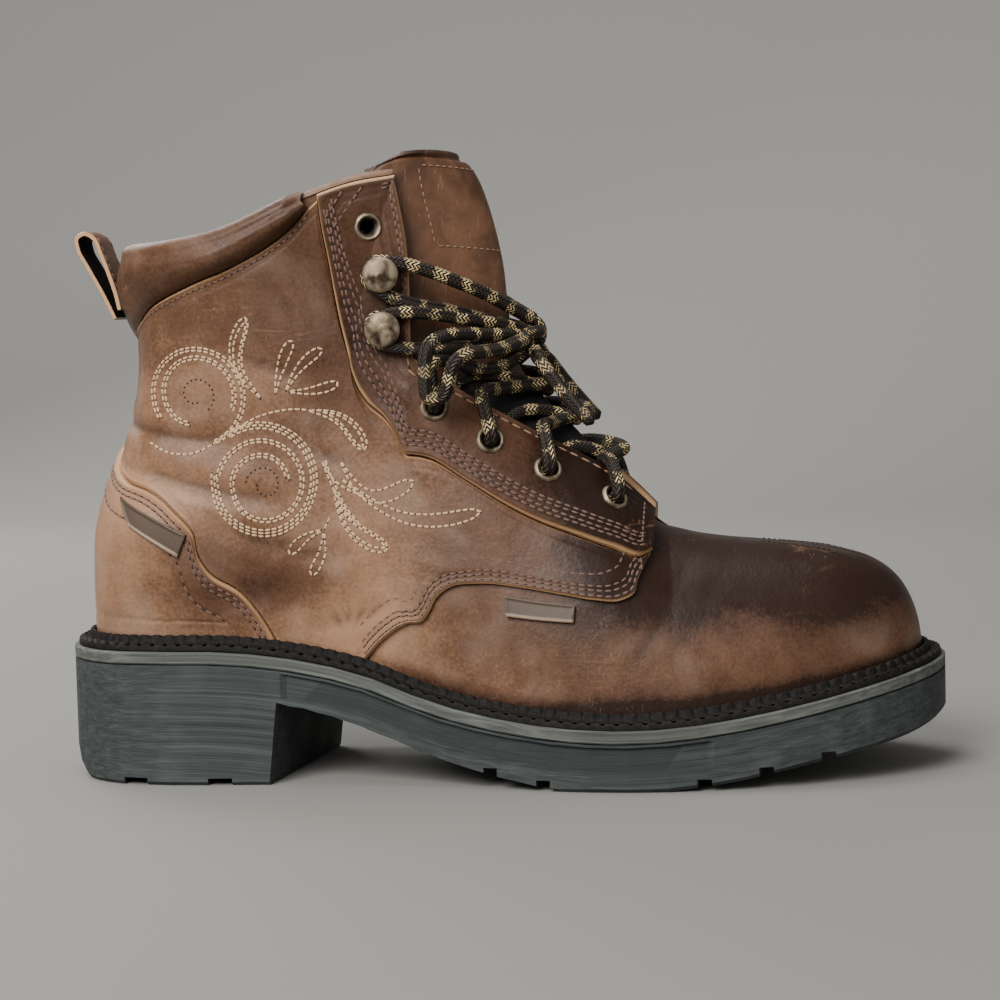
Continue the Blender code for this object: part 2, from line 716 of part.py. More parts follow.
def arch_tool():
    """What is cut away between the heel's front face and the ball."""
    wide = 0.7 * BALL_WIDTH
    end = 0.606 * SOLE_LENGTH
    outer, inner = [], []
    for t in np.linspace(0, 1, 12):
        row = []
        for y in (-wide, 0.0, wide):
            start = breast_along(y)
            x = start + (end - start) * t
            row.append((x, y, float(sole_line_free(x))))
        outer.append(row)
        inner.append([(x, y, -0.02) for x, y, _ in row])
    slant = 0.12 * HEEL_HEIGHT
    inner[0] = [(x - slant, y, z) for x, y, z in inner[0]]
    vertices, faces = shell(np.array(outer), np.array(inner))
    return add_body("tool_arch", vertices, faces, None)


def sole_line_free(x):
    """The tread line, allowed to run below the floor past the ball's first contact."""
    along = np.clip(np.asarray(x, float) / SOLE_LENGTH, 0, 1)
    share = hermite(read(SOLE_LINE, "along"), read(SOLE_LINE, "thickness"), along)
    start = 0.56 * SOLE_LENGTH
    return sole_top(x) - share * SOLE_THICKNESS - 0.08 * np.maximum(np.asarray(x) - start, 0)


GROOVES = [0.500, 0.560, 0.735, 0.800, 0.865]
HEEL_GROOVES = [0.36, 0.74]


def groove_tool():
    """Bars across the tread, bent forward in the middle."""
    vertices, faces = [], []

    def bar(x, width, low, high, bend):
        wide = 0.7 * BALL_WIDTH
        ends = []
        for y, shift in ((-wide, -bend), (0.0, bend), (wide, -bend)):
            ends.append([(x + shift - width / 2, y), (x + shift + width / 2, y)])
        base = len(vertices)
        for pair in ends:
            for px, py in pair:
                vertices.append((px, py, low))
                vertices.append((px, py, high))
        for k in (0, 4):
            a = base + k
            faces.append((a, a + 4, a + 5, a + 1))
            faces.append((a + 2, a + 3, a + 7, a + 6))
            faces.append((a + 1, a + 5, a + 7, a + 3))
            faces.append((a, a + 2, a + 6, a + 4))
        faces.append((base, base + 1, base + 3, base + 2))
        faces.append((base + 8, base + 10, base + 11, base + 9))

    for along in GROOVES:
        x = along * SOLE_LENGTH
        bar(x, TREAD_GROOVE, -0.02, float(sole_bottom(x)) + TREAD_DEPTH, 0.004)
    for share in HEEL_GROOVES:
        bar(share * HEEL_LENGTH, HEEL_GROOVE, -0.02, TREAD_DEPTH, 0.0)
    return add_body("tool_grooves", vertices, faces, None)


def build_welt():
    rib_in = LEDGE - BEND_GAP - 1.5 * GAP
    rib_out = rib_in - RIB_WIDTH
    profile = [
        (WELT_SET_BACK, 0.0),
        (WELT_SET_BACK, 0.8 * WELT_HEIGHT),
        (WELT_SET_BACK + 0.2 * WELT_HEIGHT, WELT_HEIGHT),
        (rib_out, WELT_HEIGHT),
        (rib_out + 0.2 * RIB_WIDTH, RIB_HEIGHT),
        (rib_in, RIB_HEIGHT),
        (rib_in, 0.0),
    ]
    rings = [
        edge_ring(SOLE_SHARES, inset, lambda x, side, rise=rise: sole_top(x) + GAP + rise)
        for inset, rise in profile
    ]
    rings = np.stack(rings, axis=1)
    count, rows = rings.shape[:2]
    faces = []
    for i in range(count):
        k = (i + 1) % count
        for j in range(rows):
            m = (j + 1) % rows
            faces.append((i * rows + j, k * rows + j, k * rows + m, i * rows + m))
    add_body("welt", rings.reshape(-1, 3), faces, "welt")


def insole_inset(side, around):
    layers = hermite(read(COLUMNS, "around"), read(COLUMNS, "layers"), around)
    return LEDGE + layers * COUNTER_THICKNESS + WALL + 4 * GAP


def build_insole():
    lip = 0.0006
    levels = [
        (lambda s, a: insole_inset(s, a) + lip, lambda x, side: sole_top(x) + GAP + INSOLE_THICKNESS),
        (insole_inset, lambda x, side: sole_top(x) + GAP + INSOLE_THICKNESS - lip),
        (insole_inset, lambda x, side: sole_top(x) + GAP),
    ]
    plate("insole", SOLE_SHARES, levels, "lining", 3)


# Upper


def upper_shares():
    stops = {row.name: row.around for row in COLUMNS}
    return around_list(
        (0, stops["rear_side"], 6),
        (stops["rear_side"], stops["collar_front"], 6),
        (stops["collar_front"], stops["notch"], 4),
        (stops["notch"], stops["eyelet_row"], 4),
        (stops["eyelet_row"], stops["throat_side"], 6),
        (stops["throat_side"], stops["throat"], 1),
        (stops["throat"], 1.0, 9),
    )


def build_upper():
    shares = upper_shares()
    ups = np.linspace(0, 1, 13)

    def skin(lift):
        def points(side, around):
            a, u = np.meshgrid(around, ups, indexing="ij")
            return on_form(side, a, u, np.full(a.shape, lift))

        return both_sides(shares, points)

    ring = np.concatenate([shares, shares[1:-1][::-1]])
    following = np.roll(ring, -1)
    open_rim = np.maximum(ring, following) <= throat_around() + 1e-9
    vertices, faces = shell(skin(0.0), skin(-WALL), ring=True, open_rim=open_rim)
    return add_body("upper", vertices, faces, "leather")


def build_patch(name, side, grid, lift, thickness, slot):
    """A piece of leather laid on the wall. thickness may vary over the grid."""
    thickness = np.broadcast_to(thickness, grid.shape[:2])
    outer = on_form(side, grid[..., 0], grid[..., 1], lift + thickness)
    inner = on_form(side, grid[..., 0], grid[..., 1], np.full(grid.shape[:2], lift))
    vertices, faces = shell(outer, inner)
    return add_body(name, vertices, faces, slot)


def around_back(build_side, mirror_side):
    """Join a patch's points on both sides into one grid that passes round the back."""
    return np.concatenate([build_side[::-1], mirror_side[1:]])


SEAM_TRIM = 0.0004


def counter_grid(side):
    high = seam(side, COUNTER_EDGE, SEAM_POINTS)
    floor = np.linspace(0, high[-1, 0] - 0.010, SEAM_POINTS)
    low = np.column_stack([floor, np.zeros(SEAM_POINTS)])
    high = high.copy()
    high[-1] = high[-1] + (high[-2] - high[-1]) * 0.12
    return ruled(side, low, high, 6, 0.0, SEAM_TRIM)


def quarter_grid(side):
    counter = seam(side, COUNTER_EDGE, SEAM_POINTS)
    vamp = seam(side, VAMP_EDGE, STAY_POINTS - 1)
    run = np.linspace(counter[-1, 0], vamp[0, 0], 4)[1:-1]
    floor = np.column_stack([run, np.zeros(2)])
    low = np.concatenate([counter, floor, vamp])
    collar = seam(side, COLLAR_SEAM, SEAM_POINTS + 1)
    stay = seam(side, EYESTAY_EDGE, STAY_POINTS)
    high = np.concatenate([collar, stay])
    low[0, 0] = high[0, 0] = 0.0007
    trim = np.full(len(low), SEAM_TRIM)
    return ruled(side, low, high, 10, trim, trim)


def collar_grid(side):
    low = seam(side, COLLAR_SEAM, SEAM_POINTS + 1)
    rim = np.linspace(0, RIM_FRONT[0] - 0.012, SEAM_POINTS + 1)
    high = np.column_stack([rim, np.ones(SEAM_POINTS + 1)])
    return ruled(side, low, high, 5, SEAM_TRIM, 0.0)


def eyestay_grid(side):
    low = seam(side, EYESTAY_EDGE, STAY_POINTS)
    high = np.column_stack([RIM_FRONT, np.ones(len(RIM_FRONT))])
    return ruled(side, low, high, 5, SEAM_TRIM, SEAM_TRIM)


def back_patch(name, grids, lift, thickness, slot):
    """A piece that passes round the back of the heel from one side to the other."""
    thickness = np.broadcast_to(thickness, grids[OUTER].shape[:2])
    skins = []
    for raise_by in (thickness + lift, np.full(thickness.shape, lift)):
        sides = [on_form(s, grids[s][..., 0], grids[s][..., 1], raise_by) for s in SIDES]
        skins.append(around_back(*sides))
    vertices, faces = shell(*skins)
    return add_body(name, vertices, faces, slot)


def build_overlays():
    for side in SIDES:
        name = "quarter_" + SIDE_NAMES[side]
        build_patch(name, side, quarter_grid(side), BEND_GAP, QUARTER_THICKNESS, "leather")
    counters = {side: counter_grid(side) for side in SIDES}
    back_patch("counter", counters, BEND_GAP, COUNTER_THICKNESS, "leather")
    collars = {side: collar_grid(side) for side in SIDES}
    puff = QUARTER_THICKNESS + (COLLAR_THICKNESS - QUARTER_THICKNESS) * np.sin(
        math.pi * np.linspace(0.0, 1, 6)
    )
    back_patch("collar", collars, BEND_GAP, puff[None, :], "leather")
    stays = []
    for side in SIDES:
        name = "eyestay_" + SIDE_NAMES[side]
        grid = eyestay_grid(side)
        stays.append(build_patch(name, side, grid, STAY_GAP, EYESTAY_THICKNESS, "leather_dark"))
    return stays


# Tongue


@lru_cache(maxsize=None)
def tongue_controls():
    """Five points across each row of the tongue, from its outer edge to its inner edge."""
    under = -(WALL + TONGUE_CLEARANCE)
    collar_front = station("collar_front")
    rows = []
    for row in TONGUE_ROWS:
        around = max(row.around, collar_front)
        edge = {}
        for side in SIDES:
            rim = on_form(side, around, 0.985 if row.along else 0.90, under)
            if around <= station("notch"):
                back = locate_point(side, rim[0] - TONGUE_FLAP, rim[2] - 0.5 * TONGUE_FLAP)
                back = on_form(side, *back, under)
                edge[side] = [back - (0, side * WALL, 0), rim - (0, side * 0.5 * WALL, 0)]
            else:
                edge[side] = [on_form(side, around, 0.80 if row.along else 0.75, under), rim]
        if row.along == 0:
            middle = on_form(OUTER, around, 1.0, under)
        else:
            middle = np.array([row.along * SOLE_LENGTH, 0.0, float(height(row.rise))])
        low, high = edge[OUTER], edge[INNER]
        points = np.array([low[0], low[1], middle, high[1], high[0]])
        if row.around < collar_front:
            points[[0, 1, 3, 4]] += (0.004, 0.0, TONGUE_RISE)
            points[[0, 1, 3, 4], 1] *= 0.9
        rows.append(points)
    return np.array(rows)


def tongue_point(around, across):
    """Outer face of the tongue. across runs from -1 at its outer edge to 1 at its inner."""
    around, across = np.broadcast_arrays(np.asarray(around, float), np.asarray(across, float))
    shape = around.shape
    rows = hermite(read(TONGUE_ROWS, "around"), tongue_controls(), around.ravel())
    points = [hermite(TONGUE_ACROSS, row, np.array([w]))[0] for row, w in zip(rows, across.ravel())]
    return np.array(points).reshape(shape + (3,))


def tongue_normal(around, across, step=4e-3):
    first, last = TONGUE_ROWS[0].around, TONGUE_ROWS[-1].around
    ahead = tongue_point(np.minimum(around + step, last), across)
    behind = tongue_point(np.maximum(around - step, first), across)
    right = tongue_point(around, np.minimum(across + step, 1.0))
    left = tongue_point(around, np.maximum(across - step, -1.0))
    normal = np.cross(ahead - behind, right - left)
    return normal / np.linalg.norm(normal, axis=-1, keepdims=True)


def on_tongue(around, across, lift):
    around, across = np.broadcast_arrays(np.asarray(around, float), np.asarray(across, float))
    lift = np.asarray(lift, float)[..., None]
    return tongue_point(around, across) + tongue_normal(around, across) * lift


def build_tongue():
    first, last = TONGUE_ROWS[0].around, TONGUE_ROWS[-1].around
    around, across = np.meshgrid(np.linspace(first, last, 17), np.linspace(-1, 1, 11), indexing="ij")
    puff = hermite(read(TONGUE_ROWS, "around"), read(TONGUE_ROWS, "puff"), around)
    thickness = TONGUE_THICKNESS * (0.45 + (puff - 0.45) * np.cos(0.5 * math.pi * across) ** 0.5)
    vertices, faces = shell(on_tongue(around, across, 0.0), on_tongue(around, across, -thickness))
    return add_body("tongue", vertices, faces, "leather")


# Pull loop and tags

# The loop's middle line seen from the side: along and rise as in the seams
LOOP_PATH = [
    SeamRow(0.0700, 1.615),
    SeamRow(0.0560, 1.690),
    SeamRow(0.0400, 1.765),
    SeamRow(0.0300, 1.815),
    SeamRow(0.0290, 1.845),
    SeamRow(0.0380, 1.858),
    SeamRow(0.0480, 1.845),
    SeamRow(0.0560, 1.800),
    SeamRow(0.0640, 1.745),
    SeamRow(0.0715, 1.685),
    SeamRow(0.0755, 1.640),
]
LOOP_WIDTH = 0.018
LOOP_THICKNESS = 0.0018
LOOP_GAP = 0.0012  # how far the loop stands off the boot's back


def build_pull_loop():
    """A leather strap folded into a loop whose two ends are sewn at the back seam."""
    points = np.array([(row.along * SOLE_LENGTH, float(height(row.rise))) for row in LOOP_PATH])
    points[:, 0] -= LOOP_GAP
    chord = np.concatenate([[0], np.cumsum(np.linalg.norm(np.diff(points, axis=0), axis=1))])
    line = hermite(chord, points, np.linspace(0, chord[-1], 19))
    along = np.gradient(line, axis=0)
    along /= np.linalg.norm(along, axis=1)[:, None]
    out = np.stack([along[:, 1], -along[:, 0]], axis=1) * -1
    skins = []
    for off in (0.5, -0.5):
        flat = line + out * off * LOOP_THICKNESS
        rows = []
        for y in np.linspace(-0.5, 0.5, 4) * LOOP_WIDTH:
            rows.append(np.column_stack([flat[:, 0], np.full(len(flat), y), flat[:, 1]]))
        skins.append(np.stack(rows, axis=1))
    vertices, faces = shell(*skins)
    return add_body("pull_loop", vertices, faces, "leather_dark")


TagRow = namedtuple("TagRow", "name low_from low_to high_from high_to lift")
TAGS = [
    TagRow(
        "tag_heel",
        SeamRow(0.098, 1.030),
        SeamRow(0.150, 0.930),
        SeamRow(0.090, 1.105),
        SeamRow(0.160, 1.010),
        COUNTER_THICKNESS + BEND_GAP + GAP,
    ),
    TagRow(
        "tag_vamp",
        SeamRow(0.516, 0.675),
        SeamRow(0.590, 0.648),
        SeamRow(0.514, 0.755),
        SeamRow(0.592, 0.715),
        BEND_GAP,
    ),
]
TAG_THICKNESS = 0.0011


def build_tags():
    for tag in TAGS:
        low = spread(OUTER, [locate(OUTER, *tag.low_from), locate(OUTER, *tag.low_to)], 6)
        high = spread(OUTER, [locate(OUTER, *tag.high_from), locate(OUTER, *tag.high_to)], 6)
        grid = ruled(OUTER, low, high, 2, 0.0, 0.0)
        build_patch(tag.name, OUTER, grid, tag.lift, TAG_THICKNESS, "leather_dark")


# Metal fittings

STAY_FACE = STAY_GAP + EYESTAY_THICKNESS
SEAT_GAP = 0.0008  # flat fittings stand this far off the curved eyestay


def fitting_frame(side, place_row, lift):
    """A matrix whose Z axis stands on the wall at that place."""
    around, up = locate(side, place_row.along, place_row.rise)
    point = Vector(on_form(side, around, up, lift))
    normal = Vector(form_normal(side, around, up))
    turn = normal.to_track_quat("Z", "Y").to_matrix().to_4x4()
    turn.translation = point
    return turn


def turned(name, frame, profile, slot, segments=8, closed=True):
    """A round body: profile points (radius, height) turned about the frame's Z axis."""
    vertices, faces = [], []
    count = len(profile)
    for i in range(segments):
        angle = 2 * math.pi * i / segments
        for radius, level in profile:
            point = Vector((radius * math.cos(angle), radius * math.sin(angle), level))
            vertices.append(frame @ point)
    for i in range(segments):
        k = (i + 1) % segments
        for j in range(count if closed else count - 1):
            m = (j + 1) % count
            faces.append((i * count + j, k * count + j, k * count + m, i * count + m))
    if not closed:
        faces.append([i * count for i in range(segments)])
        faces.append([i * count + count - 1 for i in range(segments)])
    return add_body(name, vertices, faces, slot, 50.0)


def eyelet_profile():
    low = -(EYESTAY_THICKNESS + STAY_GAP + WALL)
    face = SEAT_GAP + EYELET_LIP
    return [
        (EYELET_BORE, low),
        (EYELET_BORE, face - 0.0002),
        (EYELET_BORE + 0.0005, face),
        (EYELET_RADIUS - 0.0006, face),
        (EYELET_RADIUS, SEAT_GAP),
        (EYELET_BARREL, SEAT_GAP),
        (EYELET_BARREL, low),
    ]


def hook_profile():
    top = SEAT_GAP + HOOK_STANDOFF
    return [
        (0.85 * HOOK_RADIUS, SEAT_GAP),
        (0.80 * HOOK_RADIUS, SEAT_GAP + 0.0008),
        (HOOK_NECK, SEAT_GAP + 0.0014),
        (HOOK_NECK, top),
        (HOOK_RADIUS, top + 0.0004),
        (HOOK_RADIUS, top + 0.0010),
        (0.7 * HOOK_RADIUS, top + 0.0021),
        (0.3 * HOOK_RADIUS, top + 0.0026),
    ]


def build_fittings(bodies):
    """Eyelets in real holes, and speed hooks above them."""
    tools = []
    for side in SIDES:
        for number, row in enumerate(EYELET_PLACES, 1):
            frame = fitting_frame(side, row, STAY_FACE)
            turned(f"eyelet_{SIDE_NAMES[side]}_{number}", frame, eyelet_profile(), "metal")
            hole = EYELET_BARREL + GAP
            tools.append((frame, [(hole, -0.02), (hole, 0.01)]))
        for number, row in enumerate(HOOK_PLACES, 1):
            frame = fitting_frame(side, row, STAY_FACE)
            name = f"hook_{SIDE_NAMES[side]}_{number}"
            turned(name, frame, hook_profile(), "metal", closed=False)
    vertices, faces = [], []
    for frame, profile in tools:
        base = len(vertices)
        for i in range(16):
            angle = 2 * math.pi * i / 16
            for radius, level in profile:
                point = Vector((radius * math.cos(angle), radius * math.sin(angle), level))
                vertices.append(frame @ point)
        for i in range(16):
            k = (i + 1) % 16
            faces.append([base + i * 2, base + k * 2, base + k * 2 + 1, base + i * 2 + 1])
        faces.append([base + i * 2 for i in range(16)])
        faces.append([base + i * 2 + 1 for i in range(16)])
    tool = add_body("tool_eyelets", vertices, faces, None)
    for body in bodies:
        cut(body, tool)


# Lace

LACE_SIDES = 6
LACE_SPACING = 0.0085  # half the space between crossings at an eyelet, as a share round the sole
HOOK_SPACING = 0.0320  # the same beside a hook's neck


def tube(name, points, radius, slot, spacing=3.2):
    """A closed round tube through points."""
    points = np.asarray(points, float)
    chord = np.concatenate([[0], np.cumsum(np.linalg.norm(np.diff(points, axis=0), axis=1))])
    count = max(4, int(chord[-1] / (spacing * 2 * radius)) + 1)
    line = hermite(chord, points, np.linspace(0, chord[-1], count))
    along = np.gradient(line, axis=0)
    along /= np.linalg.norm(along, axis=1)[:, None]
    across = np.cross(along[0], (0.0, 0.0, 1.0))
    vertices, faces = [], []
    for point, direction in zip(line, along):
        across = across - direction * np.dot(across, direction)
        across /= np.linalg.norm(across)
        third = np.cross(direction, across)
        for i in range(LACE_SIDES):
            angle = 2 * math.pi * i / LACE_SIDES
            vertices.append(point + radius * (across * math.cos(angle) + third * math.sin(angle)))
    for i in range(count - 1):
        for j in range(LACE_SIDES):
            k = (j + 1) % LACE_SIDES
            a, b = i * LACE_SIDES, (i + 1) * LACE_SIDES
            faces.append((a + j, b + j, b + k, a + k))
    faces.append(list(range(LACE_SIDES)))
    faces.append([(count - 1) * LACE_SIDES + j for j in range(LACE_SIDES)])
    return add_body(name, vertices, faces, slot, 70.0)


def lace_route(side, start, end, lift):
    """From beside a fitting on one side, over the tongue, to one on the other side."""
    radius = LACE_DIAMETER / 2
    stand = STAY_FACE + SEAT_GAP + EYELET_LIP + 2 * GAP + radius
    middle = tongue_share(start, end)
    halves = []
    for s, row in ((side, start), (-side, end)):
        around, up = locate(s, row.along, row.rise)
        space = HOOK_SPACING if row in HOOK_PLACES else LACE_SPACING
        toward = math.copysign(space, middle - around)
        near = on_form(s, around + toward, up + 0.3 * (1 - up), stand)
        rim = on_form(s, around + toward + 0.35 * (middle - around), 1.0, stand + radius)
        over = on_tongue(around + 0.75 * (middle - around), s * 0.30, radius + lift)
        halves.append([near, rim, over])
    centre = on_tongue(middle, 0.0, radius + lift)
    return np.array(halves[0] + [centre] + halves[1][::-1])


def tongue_share(start, end):
    """The share along the tongue midway between two places on the sides."""
    return 0.5 * (locate(OUTER, *start)[0] + locate(OUTER, *end)[0])


Crossing = namedtuple("Crossing", "name start end")
CROSSINGS = [
    Crossing("lace_cross_1", EYELET_PLACES[0], EYELET_PLACES[1]),
    Crossing("lace_cross_2", EYELET_PLACES[1], EYELET_PLACES[2]),
    Crossing("lace_cross_3", EYELET_PLACES[2], EYELET_PLACES[3]),
    Crossing("lace_cross_4", EYELET_PLACES[3], HOOK_PLACES[0]),
]

# Free lace. where is the tongue or a side; on the tongue up runs across it
KNOT = [
    RouteRow("tongue", 0.394, -0.13, 2.13),
    RouteRow("tongue", 0.393, -0.05, 2.16),
    RouteRow("tongue", 0.393, 0.05, 2.16),
    RouteRow("tongue", 0.394, 0.13, 2.13),
]
LOOP = [
    RouteRow("tongue", 0.3940, 0.137, 2.13),
    RouteRow("tongue", 0.3930, 0.260, 2.60),
    RouteRow("side", 0.403, 1.00, 4.00),
    RouteRow("side", 0.411, 0.93, 3.80),
    RouteRow("side", 0.422, 0.87, 3.60),
    RouteRow("side", 0.433, 0.88, 3.70),
    RouteRow("side", 0.434, 1.00, 4.90),
    RouteRow("tongue", 0.402, 0.30, 4.20),
    RouteRow("tongue", 0.396, 0.15, 3.25),
]
END = [
    RouteRow("tongue", 0.4022, 0.07, 2.13),
    RouteRow("tongue", 0.420, 0.11, 2.60),
    RouteRow("tongue", 0.445, 0.16, 3.00),
    RouteRow("tongue", 0.480, 0.20, 3.20),
    RouteRow("tongue", 0.520, 0.26, 3.30),
    RouteRow("tongue", 0.550, 0.32, 3.30),
]


def free_lace(name, rows, side):
    """A round cord laid along a route, as a curve with filled ends."""
    points = []
    for row in rows:
        lift = row.lift * LACE_DIAMETER
        if row.where == "tongue":
            points.append(on_tongue(row.around, side * row.up, lift))
        else:
            points.append(on_form(side, row.around, row.up, lift))
    points = np.array(points)
    chord = np.concatenate([[0], np.cumsum(np.linalg.norm(np.diff(points, axis=0), axis=1))])
    count = max(6, int(chord[-1] / (1.3 * LACE_DIAMETER)))
    line = hermite(chord, points, np.linspace(0, chord[-1], count))
    curve = bpy.data.curves.new(name, "CURVE")
    curve.dimensions = "3D"
    curve.bevel_depth = LACE_DIAMETER / 2
    curve.bevel_resolution = 2
    curve.use_fill_caps = True
    spline = curve.splines.new("POLY")
    spline.points.add(count - 1)
    for target, point in zip(spline.points, line):
        target.co = (*point, 1.0)
    place(name, curve, "lace")


def build_lace():
    radius = LACE_DIAMETER / 2
    lift = 8 * GAP
    for name, start, end in CROSSINGS:
        over = tube(name, lace_route(OUTER, start, end, lift), radius, "lace")
        under = tube("tool_" + name, lace_route(INNER, start, end, lift), radius, None)
        cut(over, under, "UNION")
    free_lace("lace_knot", KNOT, INNER)
    for side in SIDES:
        free_lace("lace_loop_" + SIDE_NAMES[side], LOOP, side)
        free_lace("lace_end_" + SIDE_NAMES[side], END, side)


def build():
    for old in list(bpy.data.objects):
        bpy.data.objects.remove(old, do_unlink=True)
    boot = bpy.data.objects.new("boot", None)
    bpy.context.scene.collection.objects.link(boot)
    boot.location = (-ORIGIN_ALONG, 0.0, 0.0)
    build_outsole()
    build_midsole()
    build_welt()
    build_insole()
    upper = build_upper()
    stays = build_overlays()
    build_tongue()
    build_pull_loop()
    build_tags()
    build_fittings([upper, *stays])
    build_lace()
    bpy.context.view_layer.update()


build()
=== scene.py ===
import math
from collections import namedtuple
from functools import lru_cache

import bmesh
import bpy
import numpy as np
from mathutils import Matrix, Vector


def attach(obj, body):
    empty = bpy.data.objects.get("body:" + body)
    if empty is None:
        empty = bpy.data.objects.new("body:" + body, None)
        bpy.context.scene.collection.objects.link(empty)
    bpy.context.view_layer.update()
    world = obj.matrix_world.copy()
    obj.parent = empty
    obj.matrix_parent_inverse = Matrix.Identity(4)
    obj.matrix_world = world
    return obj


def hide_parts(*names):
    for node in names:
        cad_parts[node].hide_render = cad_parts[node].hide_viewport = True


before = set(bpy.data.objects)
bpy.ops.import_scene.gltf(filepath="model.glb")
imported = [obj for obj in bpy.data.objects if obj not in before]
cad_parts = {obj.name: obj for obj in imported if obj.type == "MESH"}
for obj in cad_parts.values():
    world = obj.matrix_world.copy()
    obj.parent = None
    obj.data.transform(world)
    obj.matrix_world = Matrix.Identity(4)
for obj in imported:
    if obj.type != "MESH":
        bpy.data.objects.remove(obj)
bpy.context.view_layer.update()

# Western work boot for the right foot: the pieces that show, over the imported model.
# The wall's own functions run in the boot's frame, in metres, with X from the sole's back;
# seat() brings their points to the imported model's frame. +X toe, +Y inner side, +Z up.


# Driving sizes
SOLE_LENGTH = 0.290
BALL_WIDTH = 0.106
HEEL_WIDTH = 0.073
HEEL_LENGTH = 0.0745  # back of the heel to its front face, on the outer side
HEEL_HEIGHT = 0.0435  # floor to the top of the midsole, at the heel
BALL_HEIGHT = 0.0195  # floor to the top of the midsole, at the ball
TOE_SPRING = 0.0165
VAMP_HEIGHT = 0.080  # floor to the throat
SHAFT_RISE = 0.116  # throat to the front corners of the collar
COLLAR_WIDTH = 0.070

# Welt
WELT_SET_BACK = 0.0015
WELT_HEIGHT = 0.0022
RIB_HEIGHT = 0.0046
RIB_WIDTH = 0.0018
LEDGE = 0.0078  # sole's edge to the upper

# Leather
WALL = 0.0024
QUARTER_THICKNESS = 0.0018
COUNTER_THICKNESS = 0.0032
EYESTAY_THICKNESS = 0.0032
TONGUE_THICKNESS = 0.0050
TONGUE_RISE = 0.009  # how far the tongue stands above the collar
TONGUE_FLAP = 0.011  # how far its edges reach behind the facings
GAP = 0.0003  # between neighbouring pieces
BEND_GAP = 0.0006  # under leather that wraps the curved wall
STAY_GAP = 0.0010  # under the eyestay, which turns the sharp corner of the facing

# Metal and lace
EYELET_RADIUS = 0.0046
EYELET_BARREL = 0.0031
EYELET_BORE = 0.0025
HOOK_RADIUS = 0.0057
HOOK_STANDOFF = 0.0052
HOOK_NECK = 0.0021
LACE_DIAMETER = 0.0044
LACE_RADIUS = LACE_DIAMETER / 2

OUTER = -1
INNER = 1
SIDES = (OUTER, INNER)
SIDE_NAMES = {OUTER: "outer", INNER: "inner"}

# Half widths in front of the round heel, as shares of BALL_WIDTH
OutlineRow = namedtuple("OutlineRow", "along outer inner")
FOREPART = [
    OutlineRow(0.220, 0.352, 0.336),
    OutlineRow(0.320, 0.360, 0.312),
    OutlineRow(0.420, 0.396, 0.320),
    OutlineRow(0.520, 0.462, 0.368),
    OutlineRow(0.610, 0.510, 0.434),
    OutlineRow(0.690, 0.516, 0.478),
    OutlineRow(0.770, 0.492, 0.480),
    OutlineRow(0.840, 0.450, 0.455),
    OutlineRow(0.900, 0.390, 0.405),
    OutlineRow(0.950, 0.300, 0.320),
    OutlineRow(0.985, 0.176, 0.190),
]

# Height of the midsole's top, as shares of the heel's rise and of the toe spring
SoleRow = namedtuple("SoleRow", "along heel toe")
SOLE_LINE = [
    SoleRow(0.000, 0.990, 0.00),
    SoleRow(0.120, 1.000, 0.00),
    SoleRow(0.200, 0.985, 0.00),
    SoleRow(0.276, 0.880, 0.00),
    SoleRow(0.350, 0.680, 0.00),
    SoleRow(0.433, 0.310, 0.00),
    SoleRow(0.515, 0.100, 0.00),
    SoleRow(0.595, 0.000, 0.00),
    SoleRow(0.676, 0.000, 0.00),
    SoleRow(0.760, 0.000, 0.16),
    SoleRow(0.843, 0.000, 0.42),
    SoleRow(0.910, 0.000, 0.67),
    SoleRow(0.966, 0.000, 0.88),
    SoleRow(1.000, 0.000, 1.00),
]

